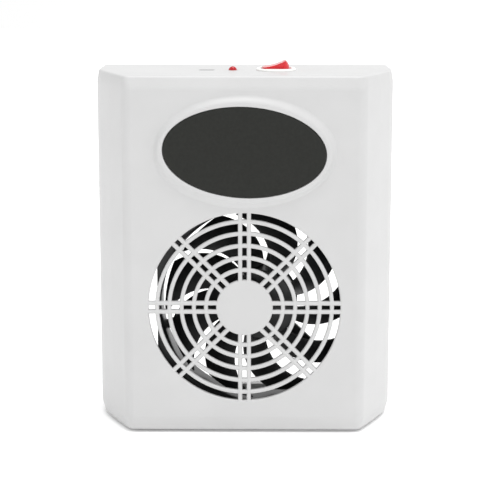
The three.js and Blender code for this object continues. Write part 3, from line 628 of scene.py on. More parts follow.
# %% Top holes
PORT_X, LED_X, SWITCH_X = (middle(node).x for node in ("power_socket", "indicator_led", "switch_body"))
LAMP_HOLE, SWITCH_HOLE = 2.8, 10.1
EASE = 0.35
below, above = TOP_Z - WALL - 1, TOP_Z + 1
eased = [(below, 0), (TOP_Z - EASE, 0), (TOP_Z - EASE * 0.3, 0.1), (TOP_Z, EASE), (above, EASE)]
slot_rings = []
for height, grow in eased:
    slot_rings.append((rounded_rect(PORT_X, CONTROL_Y, 4.85 + grow, 1.95 + grow, 1.9 + grow), height))
combine(shell, bridged("port_hole", slot_rings, "XY"), "DIFFERENCE")
for x, radius in ((LED_X, LAMP_HOLE), (SWITCH_X, SWITCH_HOLE)):
    profile = [(0, below)] + [(radius + grow, height) for height, grow in eased] + [(0, above)]
    combine(shell, turned("round_hole", profile, (x, CONTROL_Y, 0), "Z", 64, closed=False), "DIFFERENCE")
print("shell faces with top holes:", len(shell.data.polygons))

# %% [markdown]
# ## The badge's pedestal
#
# A low oval stands out of the front above the grille. Its side rises in a soft curve, and the
# plate sits in a shallow recess in its top, leaving a narrow lip all round. Fourteen ovals are
# bridged into that curve; the plate and its recess are tilted a few degrees.

# %% Pedestal and recess
BADGE_Z = 165.2
BADGE_TILT = math.radians(-2.8)
PEDESTAL = {"outer": (52.4, 32.6), "inner": (48.2, 27.6), "height": 2.5}
PLATE_HALF = (46.3, 25.7)
PLATE_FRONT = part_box("badge_plate")[0].y / MM

rings = [(ellipse(0, BADGE_Z, *PEDESTAL["outer"]), FRONT_Y + 1)]
for k in range(13):
    t = k / 12
    rise = (1 - math.cos(t * math.pi)) / 2
    half = [a + (b - a) * t for a, b in zip(PEDESTAL["outer"], PEDESTAL["inner"])]
    rings.append((ellipse(0, BADGE_Z, *half, BADGE_TILT * t), FRONT_Y - PEDESTAL["height"] * rise))
pedestal = bridged("pedestal", rings, "XZ")
combine(shell, pedestal, "UNION")

recess_half = [half + 0.3 for half in PLATE_HALF]
recess = slab("recess", ellipse(0, BADGE_Z, *recess_half, BADGE_TILT), "XZ", FRONT_Y - 4, FRONT_Y - 1.25)
combine(shell, recess, "DIFFERENCE")
print("pedestal stands out by mm:", PEDESTAL["height"])

# %% [markdown]
# ## The grille
#
# The mouth is cut by a turned cutter whose front flares, so that the hole gets a rounded edge
# in the same cut. The bars are five rings and sixteen straight spokes round a plain disc, all
# with rounded fronts. Each kind is modelled once and copied round.

# %% Mouth
GRILLE_Z = 75
GRILLE_RADIUS = 55.1
EDGE = 0.9
mouth_profile = [(0, FRONT_Y - 5), (GRILLE_RADIUS + EDGE, FRONT_Y - 5)]
for up, out in quarter(4):
    mouth_profile.append((GRILLE_RADIUS + EDGE * (1 - up), FRONT_Y + EDGE * (1 - out)))
mouth_profile += [(GRILLE_RADIUS, FRONT_Y + WALL + 1), (0, FRONT_Y + WALL + 1)]
mouth = turned("mouth", mouth_profile, (0, 0, GRILLE_Z), "Y", 128, closed=False)
combine(shell, mouth, "DIFFERENCE")

# %% Rings, spokes and disc
BAR_HALF = 1.2
RING_FIRST, RING_PITCH, RING_COUNT = 22.1, 7.03, 5
HUB_DISC = 16.3
SPOKE_OFFSET = 2.5


def bar_section(middle, half, crest, back):
    """A bar's section as (across, depth) points: flat back and a rounded front."""
    points = [(middle - half, back)]
    for k in range(10):
        turn = math.pi * k / 9
        points.append((middle - half * math.cos(turn), crest + 0.9 * (1 - math.sin(turn))))
    return points + [(middle + half, back)]


bars = []
for i in range(RING_COUNT):
    section = bar_section(RING_FIRST + i * RING_PITCH, BAR_HALF, FRONT_Y + 0.1, FRONT_Y + WALL - 0.1)
    bars.append(turned("ring", section, (0, 0, GRILLE_Z), "Y", 112))
disc_back = FRONT_Y + WALL - 0.05
disc_profile = [(0, disc_back), (HUB_DISC, disc_back), (HUB_DISC, FRONT_Y + 0.8),
                (HUB_DISC - 0.25, FRONT_Y + 0.25), (HUB_DISC - 0.8, FRONT_Y), (0, FRONT_Y)]
bars.append(turned("disc", disc_profile, (0, 0, GRILLE_Z), "Y", 96, closed=False))

section = bar_section(SPOKE_OFFSET, BAR_HALF + 0.05, FRONT_Y + 0.05, FRONT_Y + WALL - 0.15)
spoke = loop("spoke", section, "XY", GRILLE_Z + HUB_DISC - 2)
edit(spoke)
spoke_length = GRILLE_RADIUS + 2 - HUB_DISC + 2
bpy.ops.mesh.extrude_region_move(TRANSFORM_OT_translate={"value": (0, 0, spoke_length * MM)})
bpy.ops.mesh.select_all(action="SELECT")
bpy.ops.mesh.normals_make_consistent(inside=False)
leave()
across = Matrix.Translation((-2 * SPOKE_OFFSET * MM, 0, 0))
for i in range(8):
    turn = about(0, 0, GRILLE_Z, 45 * i, "Y")
    bars.append(copy_of(spoke, "spoke_right", turn))
    bars.append(copy_of(spoke, "spoke_left", turn @ across))
bpy.data.objects.remove(spoke)
grille = joined("grille_bars", bars)
tidy(combine(shell, grille, "UNION", crossing=True))
print("shell faces with grille:", len(shell.data.polygons))

hand_over(shell, "housing", "moulded_abs", abs_white, "front_shell", angle=32)

# %% [markdown]
# ## The back cover
#
# A flat plate closes the back. A collar with a thickened lip stands round the outlet, for the
# elastic mouth of a dust bag to grip. The collar is a stack of rounded rectangles bridged into
# one skin, so that the lip's round edge comes from the stack itself. Three snap ribs reach
# into the housing.

# %% Back cover
OUTLET = {"z": 71, "half_width": 67, "half_height": 60, "corner": 32}
PLATE_FRONT_Y, COLLAR_END_Y = 31, 37.5


def outlet_ring(grow):
    """The outlet's outline, grown by a distance."""
    return rounded_rect(0, OUTLET["z"], OUTLET["half_width"] + grow, OUTLET["half_height"] + grow,
                        OUTLET["corner"] + grow)


plate_half = [(83.24, BASE_Z, 1.5), (BACK_HALF, LOW_BEND, 6), (BACK_HALF, HIGH_BEND, 6), (84.2, TOP_Z, 1.5)]
plate_outline = rounded(plate_half + [(-x, z, r) for x, z, r in reversed(plate_half)])
cover = slab("back_plate", plate_outline, "XZ", PLATE_FRONT_Y, COVER_BACK_Y)
soften(cover, 0.5, segments=3, angle=40)
collar_foot = [(PLATE_FRONT_Y + 0.5, 3.4), (COVER_BACK_Y, 3.4), (33.3, 2.8), (33.9, 2.25), (34.6, 2.2)]
collar_lip = [(35.6, 2.2), (35.8, 2.4), (36.0, 3.1), (36.3, 3.55), (36.7, 3.7), (37.1, 3.55), (37.4, 3.1)]
collar_stack = collar_foot + collar_lip + [(COLLAR_END_Y, 2.6)]
combine(cover, bridged("collar", [(outlet_ring(grow), y) for y, grow in collar_stack], "XZ"), "UNION")
mouth_stack = [(PLATE_FRONT_Y - 1, 0), (37.0, 0), (37.3, 0.2), (COLLAR_END_Y, 0.7), (COLLAR_END_Y + 1, 0.7)]
combine(cover, bridged("outlet", [(outlet_ring(grow), y) for y, grow in mouth_stack], "XZ"), "DIFFERENCE")

RIB_DEPTH, RIB_THICKNESS = 4, 1.6
rib_x = BACK_HALF - WALL * SIDE_INSET - 0.3 - RIB_THICKNESS / 2
rib_z = TOP_Z - WALL - 0.3 - RIB_THICKNESS / 2
ribs = []
for x, z, half_x, half_z in ((-rib_x, 105, 0.8, 65), (rib_x, 105, 0.8, 65), (0, rib_z, 60, 0.8)):
    outline = rounded_rect(x, z, half_x, half_z, 0.3)
    rib = slab("snap_rib", outline, "XZ", PLATE_FRONT_Y - RIB_DEPTH, PLATE_FRONT_Y + 0.5)
    ribs.append(soften(rib, 0.2, segments=2, angle=60))
combine(cover, joined("snap_ribs", ribs), "UNION")
for place in cover_screws:
    hole = [(0, PLATE_FRONT_Y - 1), (1.9, PLATE_FRONT_Y - 1), (1.9, COVER_BACK_Y - 0.3),
            (2.2, COVER_BACK_Y), (2.2, COVER_BACK_Y + 1), (0, COVER_BACK_Y + 1)]
    combine(cover, turned("screw_hole", hole, (place.x, 0, place.z), "Y", 32, closed=False), "DIFFERENCE")
hand_over(cover, "housing", "moulded_abs", abs_white, "back_cover")

# %% [markdown]
# ## Badge, feet and screws
#
# The badge is a thin oval plate with a rolled edge. Each foot is a turned rubber disc with a
# shallow dimple, as a stuck-on foot has. A screw is turned too, and a cross recess with
# tapering sides is cut into its head. One of each is made, and the rest are copies.

# %% Badge plate
PLATE_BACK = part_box("badge_plate")[1].y / MM
badge = slab("badge", ellipse(0, BADGE_Z, *PLATE_HALF, BADGE_TILT), "XZ", PLATE_FRONT, PLATE_BACK)
soften(badge, 0.28, segments=3, angle=40)
hand_over(badge, "housing", "badge_print", badge_satin, "badge_plate")

# %% Rubber feet
foot_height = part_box("rubber_foot_1")[1].z / MM
foot_profile = [(0, 0.3), (2.4, 0.3), (3.0, 0.0), (4.2, 0), (4.7, 0.12), (4.95, 0.45), (5, foot_height),
                (0, foot_height)]
foot = turned("foot", foot_profile, (0, 0, 0), "Z", 64, closed=False)
for i in range(1, 5):
    spot = middle(f"rubber_foot_{i}")
    place = Matrix.Translation(Vector((spot.x, spot.y, 0)) * MM)
    hand_over(copy_of(foot, f"foot_{i}", place), "housing", "rubber", rubber_black, f"rubber_foot_{i}")
bpy.data.objects.remove(foot)


# %% Screws
THREAD_PITCH = 0.9


def cross(reach, half):
    """The outline of a plus sign."""
    corner = [(reach, -half), (reach, half), (half, half)]
    points = []
    for quarter in range(4):
        c, s = math.cos(quarter * math.pi / 2), math.sin(quarter * math.pi / 2)
        points += [(x * c - y * s, x * s + y * c) for x, y in corner]
    return points


def cross_screw(name, radius, length):
    """A pan-head screw on the Y axis, its head's underside at y = 0 and its point towards -Y."""
    head, rise, root = radius * 2, radius * 1.2, radius * 0.8
    profile = [(0, -length), (radius * 0.35, -length), (root, -length + radius)]
    for k in range(int((length - radius * 2) / THREAD_PITCH)):
        y = -length + radius + THREAD_PITCH * k
        profile += [(root, y + 0.25), (radius, y + 0.5), (root, y + 0.75)]
    profile += [(root, -0.4), (radius * 0.9, 0), (head * 0.94, 0), (head, rise * 0.12)]
    profile += [(head * (0.42 + 0.58 * out), rise * (0.3 + 0.7 * up)) for up, out in quarter(6)]
    profile.append((0, rise))
    screw = turned(name, profile, (0, 0, 0), "Y", 40, closed=False)
    reach, half = radius * 1.15, radius * 0.28
    recess_stack = [(cross(reach, half), rise + 0.2), (cross(reach * 0.92, half * 0.9), rise - 0.2),
                    (cross(reach * 0.45, half * 0.55), rise - radius * 0.75)]
    return combine(screw, bridged("cross_recess", recess_stack, "XZ"), "DIFFERENCE")


BOARD_SCREW_LENGTH = 7
cover_screw = cross_screw("cover_screw", 1.5, 11)
fan_screw = cross_screw("fan_screw", 1.7, 30.4)
board_screw = cross_screw("board_screw", 1.0, BOARD_SCREW_LENGTH)
board_screw.data.transform(Matrix.Rotation(math.radians(-90), 4, "X"))
for i in range(1, 5):
    for kind, head_y in ((cover_screw, COVER_BACK_Y + 0.05), (fan_screw, FAN_BACK + 0.05)):
        node = f"{kind.name}_{i}"
        spot = middle(node)
        place = Matrix.Translation(Vector((spot.x, head_y, spot.z)) * MM)
        turn = Matrix.Rotation(math.radians(17 + 71 * i), 4, "Y")
        hand_over(copy_of(kind, f"steel_{node}", place @ turn), "housing", "screw_steel", screw_zinc, node)
for i in (1, 2):
    spot, tip = middle(f"board_screw_{i}"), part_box(f"board_screw_{i}")[1].z / MM
    place = Matrix.Translation(Vector((spot.x, spot.y, tip - BOARD_SCREW_LENGTH)) * MM)
    piece = copy_of(board_screw, f"steel_board_screw_{i}", place)
    hand_over(piece, "housing", "screw_steel", screw_zinc, f"board_screw_{i}")
for spare in (cover_screw, fan_screw, board_screw):
    bpy.data.objects.remove(spare)

# %% [markdown]
# ## The fan's frame
#
# A standard axial fan 120 mm square and 25 mm deep: two square flanges joined by a round
# barrel, with a funnel at the front and three struts at the back that hold the motor's base.

# %% Fan frame
DUCT_RADIUS, FLANGE = 57.6, 4
MOTOR_BASE_RADIUS, MOTOR_BASE_THICKNESS = 21.5, 2.6
STRUT_ANGLES = (76.5, 196.5, 316.5)
square = rounded_rect(FAN_X, FAN_Z, 60, 60, 5)
casing = soften(slab("fan_casing", square, "XZ", FAN_FRONT, FAN_FRONT + FLANGE), 0.5, 2, 40)
rear = soften(slab("rear_flange", square, "XZ", FAN_BACK - FLANGE, FAN_BACK), 0.5, 2, 40)
combine(casing, rear, "UNION")
barrel = [(50, FAN_FRONT + 1), (59.7, FAN_FRONT + 1), (59.7, FAN_BACK - 1), (50, FAN_BACK - 1)]
combine(casing, turned("barrel", barrel, (FAN_X, 0, FAN_Z), "Y", 144), "UNION")
flare = [(1.9, FAN_FRONT - 1), (1.9, FAN_FRONT), (1.2, FAN_FRONT + 1.2), (0.4, FAN_FRONT + 3),
         (0, FAN_FRONT + 5), (0, FAN_BACK - 0.8), (0.5, FAN_BACK), (0.5, FAN_BACK + 1)]
duct = [(0, FAN_FRONT - 1)] + [(DUCT_RADIUS + grow, y) for grow, y in flare] + [(0, FAN_BACK + 1)]
combine(casing, turned("duct", duct, (FAN_X, 0, FAN_Z), "Y", 144, closed=False), "DIFFERENCE")
for x, z in fan_holes:
    combine(casing, rod("fan_hole", 2.2, FAN_FRONT - 1, FAN_BACK + 1, (x, 0, z), "Y"), "DIFFERENCE")

base_front = FAN_BACK - MOTOR_BASE_THICKNESS
tube_front = base_front - 16.4
base = [(4.1, tube_front), (5, tube_front), (5, base_front), (MOTOR_BASE_RADIUS - 0.4, base_front),
        (MOTOR_BASE_RADIUS, base_front + 0.4), (MOTOR_BASE_RADIUS, FAN_BACK - 0.7),
        (MOTOR_BASE_RADIUS - 0.7, FAN_BACK), (18.3, FAN_BACK), (18.0, FAN_BACK - 0.35),
        (6.2, FAN_BACK - 0.35), (5.9, FAN_BACK), (0, FAN_BACK), (0, FAN_BACK - 0.8), (4.1, FAN_BACK - 0.8)]
motor_base = turned("motor_base", base, (FAN_X, 0, FAN_Z), "Y", 96)
strut = slab("strut", rounded_rect(0, 38.5, 2.5, 20.5, 0.6), "XZ", FAN_BACK - 4, FAN_BACK - 0.05)
soften(strut, 0.4, 3, 60)
fan_centre = Matrix.Translation(Vector((FAN_X, 0, FAN_Z)) * MM)
for angle in STRUT_ANGLES:
    turn = Matrix.Rotation(math.radians(90 - angle), 4, "Y")
    combine(motor_base, copy_of(strut, "strut_copy", fan_centre @ turn), "UNION")
bpy.data.objects.remove(strut)
combine(casing, motor_base, "UNION")
hand_over(casing, "housing", "fan_plastic", pbt_black, "fan_frame")

# %% [markdown]
# ## The fan's rotor
#
# Nine blades sweep forward from a cup-shaped hub. One blade starts as a flat grid. Each point
# of the grid is bent to its radius, its place along the chord and its rake; the sheet is then
# thickened, its rim is rounded, and it is copied round the hub.

# %% Rotor
BLADES, BLADE_PHASE, BLADE_SWEEP, SWEEP_POWER = 9, 37.5, 28, 1.7
HUB_RADIUS, TIP_RADIUS = 20.6, 56
HUB_FRONT, HUB_BACK = -24.5, -5.1
BLADE_FRONT, BLADE_DEPTH = -24.3, 18.6
CHORD_ROOT, CHORD_TIP, CAMBER = 31.5, 29, 0.09

bpy.ops.object.select_all(action="DESELECT")
bpy.ops.mesh.primitive_grid_add(x_subdivisions=18, y_subdivisions=14, size=1)
blade = bpy.context.object
blade.name = "blade"
for vertex in blade.data.vertices:
    t, c = vertex.co.x + 0.5, vertex.co.y + 0.5
    radius = HUB_RADIUS - 0.7 + (TIP_RADIUS - HUB_RADIUS + 0.3) * t
    chord = CHORD_ROOT + (CHORD_TIP - CHORD_ROOT) * t
    angle = math.radians(BLADE_PHASE + BLADE_SWEEP * t ** SWEEP_POWER - chord * c)
    y = BLADE_FRONT + 0.4 + (BLADE_DEPTH - 0.8) * (c - CAMBER * math.sin(c * math.pi))
    vertex.co = Vector((FAN_X + radius * math.cos(angle), y, FAN_Z + radius * math.sin(angle))) * MM
edit(blade)
bpy.ops.mesh.normals_make_consistent(inside=False)
leave()
thick = blade.modifiers.new("thickness", "SOLIDIFY")
thick.thickness, thick.offset = 1.1 * MM, 0
apply(blade, thick)
soften(blade, 0.4, 2, 50)

hub = [(0, HUB_FRONT)]
hub += [(HUB_RADIUS - 2 + 2 * up, HUB_FRONT + 2 - 2 * out) for up, out in quarter(8)]
hub += [(HUB_RADIUS, HUB_BACK), (HUB_RADIUS - 1.2, HUB_BACK), (HUB_RADIUS - 1.2, HUB_FRONT + 2),
        (3.4, HUB_FRONT + 2), (3.4, HUB_FRONT + 4.6), (1.8, HUB_FRONT + 4.6),
        (1.8, HUB_FRONT + 1.2), (0, HUB_FRONT + 1.2)]
rotor = turned("fan_wheel", hub, (FAN_X, 0, FAN_Z), "Y", 96, closed=False)
turns = [about(FAN_X, 0, FAN_Z, 360 / BLADES * i, "Y") for i in range(BLADES)]
blades = [copy_of(blade, "blade_copy", turn) for turn in turns]
bpy.data.objects.remove(blade)
combine(rotor, joined("blades", blades), "UNION")
hand_over(rotor, "rotor", "fan_plastic", pbt_black, "fan_rotor")

# %% [markdown]
# ## The rocker switch
#
# A round nylon body drops through the top wall and its bezel rests on it. The rocker between
# its cheeks is tinted red, hollow underneath, and dished a little along its top. Its ends are
# round about the pivot, so that they clear the well as it tips. A plain white line is let into
# the side that is pressed to switch on.

# %% Switch body
BEZEL_RADIUS, BEZEL_HEIGHT, BARREL_RADIUS, BARREL_DEPTH = 11.55, 1.2, 9.8, 15
WELL_RADIUS, WELL_HALF = 9.1, 6.6
BEZEL_EDGE = 0.9
bezel_top = TOP_Z + BEZEL_HEIGHT
barrel_end, seat = TOP_Z - BARREL_DEPTH, TOP_Z + 0.05
profile = [(0, barrel_end), (BARREL_RADIUS - 0.5, barrel_end), (BARREL_RADIUS, barrel_end + 0.5),
           (BARREL_RADIUS, seat), (BEZEL_RADIUS, seat)]
for up, out in quarter(6):
    profile.append((BEZEL_RADIUS - BEZEL_EDGE * (1 - out), bezel_top - BEZEL_EDGE * (1 - up)))
profile.append((0, bezel_top))
switch = turned("switch_housing", profile, (SWITCH_X, CONTROL_Y, 0), "Z", 96, closed=False)


def well_outline(grow):
    """A circle with its front and back cut off flat, grown by a distance."""
    radius, half = WELL_RADIUS + grow, WELL_HALF + grow
    points = []
    limit = math.asin(half / radius)
    for k in range(21):
        angle = -limit + 2 * limit * k / 20
        points.append((SWITCH_X + radius * math.cos(angle), CONTROL_Y + radius * math.sin(angle)))
    return points + [(2 * SWITCH_X - x, 2 * CONTROL_Y - y) for x, y in points]


well_heights = [(TOP_Z - 11, 0), (bezel_top - 0.4, 0), (bezel_top - 0.12, 0.12), (bezel_top, 0.4),
                (bezel_top + 1, 0.4)]
well_stack = [(well_outline(grow), height) for height, grow in well_heights]
combine(switch, bridged("well", well_stack, "XY"), "DIFFERENCE")
PIVOT_Z = TOP_Z - 0.8
pin_hole = rod("pin_hole", 1.5, CONTROL_Y - 7.8, CONTROL_Y + 7.8, (SWITCH_X, 0, PIVOT_Z), "Y")
combine(switch, pin_hole, "DIFFERENCE")
hand_over(switch, "housing", "switch_nylon", nylon_white, "switch_body")

# %% Rocker
ROCKER_REACH, ROCKER_PLAN, ROCKER_HALF, ROCKER_TILT = 8.4, 8.2, 6.2, 16
PRESSED_RISE, DISH_DEPTH = 2.65, 0.7
corner_turn = math.asin(PRESSED_RISE / ROCKER_REACH) + math.radians(ROCKER_TILT)
corner_x, corner_z = ROCKER_REACH * math.cos(corner_turn), ROCKER_REACH * math.sin(corner_turn)
valley = corner_z - DISH_DEPTH


def dish_point(t):
    """A point of the dished top, from its lowest line at 0 to the right corner at 1."""
    return corner_x * (0.8 * t * (1 - t) + t * t), valley + (corner_z - valley) * t * t


right_half = [dish_point(k / 12) for k in range(13)]
dish = [(-x, z) for x, z in reversed(right_half[1:])] + right_half
end = []
for k in range(11):
    angle = corner_turn + (-math.radians(5) - corner_turn) * k / 10
    end.append((ROCKER_REACH * math.cos(angle), ROCKER_REACH * math.sin(angle)))
below_rocker = [(3.5, -5.2), (-3.5, -5.2)]
section = dish + end[1:] + below_rocker + [(-x, z) for x, z in reversed(end[1:])]
rocker = slab("rocker", section, "XZ", -ROCKER_HALF, ROCKER_HALF)
round_plan = slab("round_plan", ellipse(0, 0, ROCKER_PLAN, ROCKER_PLAN, sides=96), "XY", -12, 12)
combine(rocker, round_plan, "INTERSECT")
soften(rocker, 0.35, 3, 40)
combine(rocker, rod("pins", 1.15, -ROCKER_HALF - 1.1, ROCKER_HALF + 1.1, (0, 0, 0), "Y"), "UNION")
pocket = slab("pocket", rounded_rect(0, 0, 2.2, 4, 0.5), "XY", -8, -1.6)
combine(rocker, pocket, "DIFFERENCE")
set_place = Matrix.Translation(Vector((SWITCH_X, CONTROL_Y, PIVOT_Z)) * MM)
set_place = set_place @ Matrix.Rotation(math.radians(-ROCKER_TILT), 4, "Y")
rocker.data.transform(set_place)
hand_over(rocker, "rocker", "red_clear", rocker_red, "switch_rocker")
line = [dish_point(0.64 + 0.02 * k) for k in range(6)]
mark_section = [(x, z + 0.06) for x, z in line] + [(x, z - 0.25) for x, z in reversed(line)]
mark = soften(slab("rocker_mark", mark_section, "XZ", -1.1, 1.1), 0.05, 1, 60)
mark.data.transform(set_place)
hand_over(mark, "rocker", "switch_nylon", nylon_white, "switch_rocker")

# %% [markdown]
# ## Lamp, power socket and wires
#
# The lamp is a 5 mm LED: a cast epoxy dome with a flange, round two flat leads. One lead ends
# in a small cup that holds the chip. The socket is a drawn steel shell with a rolled mouth
# round a black tongue with bright contacts. The wires are tubes along smooth routes.

# %% Lamp
DOME_TOP, LED_RADIUS = TOP_Z + 2.1, 2.45
profile = [(0, DOME_TOP - 8.6), (2.8, DOME_TOP - 8.6), (2.9, DOME_TOP - 8.5), (2.9, DOME_TOP - 7.7),
           (2.8, DOME_TOP - 7.6), (LED_RADIUS, DOME_TOP - 7.6)]
profile += [(LED_RADIUS * out, DOME_TOP - LED_RADIUS * (1 - up)) for up, out in quarter(10)[:-1]]
profile.append((0, DOME_TOP))
dome = turned("lamp_dome", profile, (LED_X, CONTROL_Y, 0), "Z", 64, closed=False)
hand_over(dome, "housing", "red_clear", lamp_red, "indicator_led")
leads = []
for side, top in ((-1, DOME_TOP - 3.6), (1, DOME_TOP - 3.2)):
    x = LED_X + side * 1.27
    lead = slab("lead", rounded_rect(x, CONTROL_Y, 0.25, 0.25, 0.06), "XY", BOARD_TOP + 0.05, top)
    leads.append(soften(lead, 0.05, 1, 60))
cup = [(0, DOME_TOP - 3.9), (0.5, DOME_TOP - 3.9), (1.0, DOME_TOP - 3.0), (0.85, DOME_TOP - 3.0),
       (0.4, DOME_TOP - 3.6), (0, DOME_TOP - 3.6)]
leads.append(turned("cup", cup, (LED_X - 0.6, CONTROL_Y, 0), "Z", 32, closed=False))
frame_piece = joined("lamp_leads", leads)
hand_over(frame_piece, "housing", "bright_steel", nickel, "indicator_led")

# %% Power socket
low, high = BOARD_TOP + 0.05, TOP_Z - 0.2
shell_stack = [(rounded_rect(PORT_X, CONTROL_Y, 4.47 - cut, 1.6 - cut, 1.55 - cut), z)
               for z, cut in ((low, 0.2), (low + 0.2, 0), (high - 0.15, 0), (high, 0.12))]
socket = bridged("socket_shell", shell_stack, "XY")
inner_stack = [(rounded_rect(PORT_X, CONTROL_Y, 4.15 + grow, 1.28 + grow, 1.25 + grow), z)
               for z, grow in ((low + 1, 0), (high - 0.4, 0), (high - 0.1, 0.08), (high + 0.5, 0.2))]
combine(socket, bridged("socket_hollow", inner_stack, "XY"), "DIFFERENCE")
# The shell's darker steel colour is painted shade inside the slot.
hand_over(socket, "housing", "bright_steel", shade_darkened_socket_steel, "power_socket")
tongue_low, tongue_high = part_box("socket_tongue")
contacts = []
for i in range(5):
    for side in (-1, 1):
        x = PORT_X + (i - 2) * 1.2
        outline = rounded_rect(x, CONTROL_Y + side * 0.38, 0.3, 0.045, 0.02)
        contacts.append(slab("contact", outline, "XY", tongue_low.z / MM + 1.9, tongue_high.z / MM - 0.5))
hand_over(joined("socket_contacts", contacts), "housing", "brass_tab", brass)

# %% Wires
STRUT_TURN = math.radians(STRUT_ANGLES[0])
UNDER_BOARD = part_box("control_board")[0].z / MM


def tube(name, points, radius, material, slot, node):
    """A wire's insulation: a smooth curve through the route's points, made a mesh."""
    bpy.ops.object.select_all(action="DESELECT")
    bpy.ops.curve.primitive_bezier_curve_add(radius=0.01)
    item = bpy.context.object
    item.name = name
    item.data.resolution_u = 8
    item.data.bevel_depth = radius * MM
    item.data.bevel_resolution = 3
    item.data.use_fill_caps = True
    spline = item.data.splines[0]
    spline.bezier_points.add(len(points) - 2)
    for knot, point in zip(spline.bezier_points, points):
        knot.co = Vector(point) * MM
        knot.handle_left_type = knot.handle_right_type = "AUTO"
    only(item)
    bpy.ops.object.convert(target="MESH")
    tidy(bpy.context.object)
    hand_over(bpy.context.object, "housing", slot, material, node, angle=50)


def fan_lead(shift):
    """The route of a fan lead: along the upper strut, over the frame's edge, up to the board."""
    def along(radius, y):
        return (FAN_X + radius * math.cos(STRUT_TURN) - shift * math.sin(STRUT_TURN), y,
                FAN_Z + radius * math.sin(STRUT_TURN) + shift * math.cos(STRUT_TURN))

    end_x = -12 - shift * 1.8
    return [along(14, FAN_BACK + 1.2), along(30, FAN_BACK + 1.3), along(48, FAN_BACK + 1.3),
            along(62, FAN_BACK + 1.6), (20 - shift, 4, 150), (6 - shift * 1.3, 6, 170),
            (-8 - shift * 1.5, 4, 184), (end_x, CONTROL_Y + 2, UNDER_BOARD - 3),
            (end_x, CONTROL_Y + 2, UNDER_BOARD - 0.4)]


def switch_lead(x, board_x, side):
    """The route of a switch lead: down from its tab, round a bend and up to the board."""
    tab_z = TOP_Z - BARREL_DEPTH - 8.5
    return [(x, CONTROL_Y, tab_z), (x - 0.6, CONTROL_Y + side, tab_z - 4),
            ((x + board_x) / 2, CONTROL_Y + side * 3.5, tab_z - 8),
            (board_x + 1, CONTROL_Y + side * 4.5, tab_z - 3),
            (board_x, CONTROL_Y + side * 5, UNDER_BOARD - 3),
            (board_x, CONTROL_Y + side * 5, UNDER_BOARD - 0.4)]


WIRE_RADIUS, LEAD_SHIFT, TAB_X, JOINT_X = 0.75, 1.1, 4.7, -3
wires = [
    ("wire_fan_red", fan_lead(-LEAD_SHIFT), pvc_red, "red_insulation", "fan_wire_red"),
    ("wire_fan_black", fan_lead(LEAD_SHIFT), pvc_black, "black_insulator", "fan_wire_black"),
    ("wire_switch_1", switch_lead(SWITCH_X - TAB_X, JOINT_X, -1), pvc_red, "red_insulation", "switch_wire_1"),
    ("wire_switch_2", switch_lead(SWITCH_X + TAB_X, JOINT_X, 1), pvc_red, "red_insulation", "switch_wire_2"),
]
for name, route, material, slot, node in wires:
    tube(name, route, WIRE_RADIUS, material, slot, node)

# %% [markdown]
# ## Finishes on the carried-over pieces
#
# The motor's inner parts, the board and the tabs keep their shapes from the model, because
# those are already right, and only get their finishes.

# %% Carried-over pieces
carried = [
    (nickel, ["rotor_yoke"]),
    (ferrite, ["rotor_magnet"]),
    (ground_steel, ["fan_shaft", "bearing_front", "bearing_back"]),
    (lcp_black, ["shaft_clip", "socket_tongue"]),
    (lamination, ["stator_core"]),
    (copper, [f"stator_coil_{i}" for i in range(1, 5)]),
    (board_green, ["motor_board", "control_board"]),
    (brass, ["switch_terminal_1", "switch_terminal_2"]),
]
for material, names in carried:
    for name in names:
        nodes[name].data.materials.clear()
        nodes[name].data.materials.append(material)
print("carried over:", sum(len(names) for _, names in carried))

# %% [markdown]
# ## Camera, floor and light
#
# A long lens from a little above the front keeps the verticals nearly straight. The table is a
# pale, faintly glowing sheet. The white surround is a little brighter on the right than on the
# left, and one broad soft light from above gives the top its brighter tone.

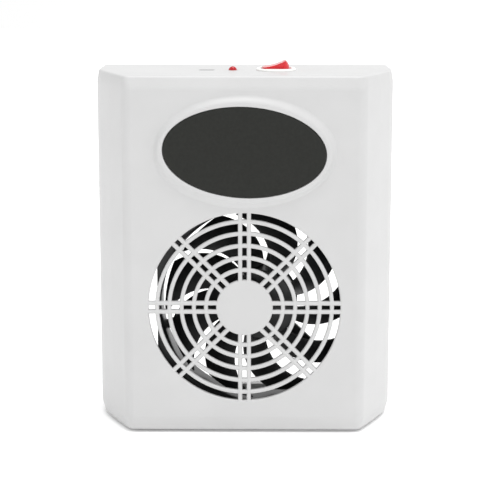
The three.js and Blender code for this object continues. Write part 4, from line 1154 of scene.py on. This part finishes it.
# %% Camera
AZIMUTH, ELEVATION = math.radians(0.5), math.radians(11.5)
TARGET = Vector((0, 0, 0.10475))
DISTANCE = 1.024
away = Vector((math.sin(AZIMUTH) * math.cos(ELEVATION), -math.cos(AZIMUTH) * math.cos(ELEVATION),
               math.sin(ELEVATION)))
camera_data = bpy.data.cameras.new("camera")
camera_data.lens = 127.5
camera = bpy.data.objects.new("camera", camera_data)
camera.location = TARGET + away * DISTANCE
camera.rotation_euler = (-away).to_track_quat("-Z", "Y").to_euler()
bpy.context.scene.collection.objects.link(camera)
bpy.context.scene.camera = camera

# %% Floor, surround and key light
bpy.ops.object.select_all(action="DESELECT")
bpy.ops.mesh.primitive_plane_add(size=6)
floor = bpy.context.object
floor.name = "table_top"
floor_material, _, floor_shader, _ = start_material("white_laminate_table", Roughness=0.9)
floor_shader.inputs["Base Color"].default_value = (0.92, 0.92, 0.92, 1)
floor_shader.inputs["Emission Color"].default_value = (1, 1, 1, 1)
floor_shader.inputs["Emission Strength"].default_value = 0.12
floor_shader.inputs["Specular IOR Level"].default_value = 0.0
floor.data.materials.append(floor_material)

world = bpy.data.worlds.new("white_surround")
world.use_nodes = True
background = world.node_tree.nodes["Background"]
LEVEL, TO_THE_RIGHT, TO_BOTH_SIDES = 1.03, 0.2, -0.16
surround = world.node_tree
heading = add_node(surround, "ShaderNodeTexCoord").outputs["Generated"]
across_view = add_node(surround, "ShaderNodeSeparateXYZ", {"Vector": heading}).outputs["X"]
slope = add_node(surround, "ShaderNodeMath", {
    0: across_view, 1: TO_BOTH_SIDES, 2: TO_THE_RIGHT}, operation="MULTIPLY_ADD")
strength = add_node(surround, "ShaderNodeMath", {
    0: across_view, 1: slope.outputs["Value"], 2: LEVEL}, operation="MULTIPLY_ADD")
background.inputs["Color"].default_value = (1, 1, 1, 1)
surround.links.new(strength.outputs["Value"], background.inputs["Strength"])
bpy.context.scene.world = world

key_data = bpy.data.lights.new("soft_key", "SUN")
key_data.energy = 1.75
key_data.angle = math.radians(35)
key = bpy.data.objects.new("soft_key", key_data)
key.rotation_euler = Vector((0.1, -0.13, 0.98)).to_track_quat("Z", "Y").to_euler()
bpy.context.scene.collection.objects.link(key)
bpy.context.scene.view_settings.view_transform = "Standard"
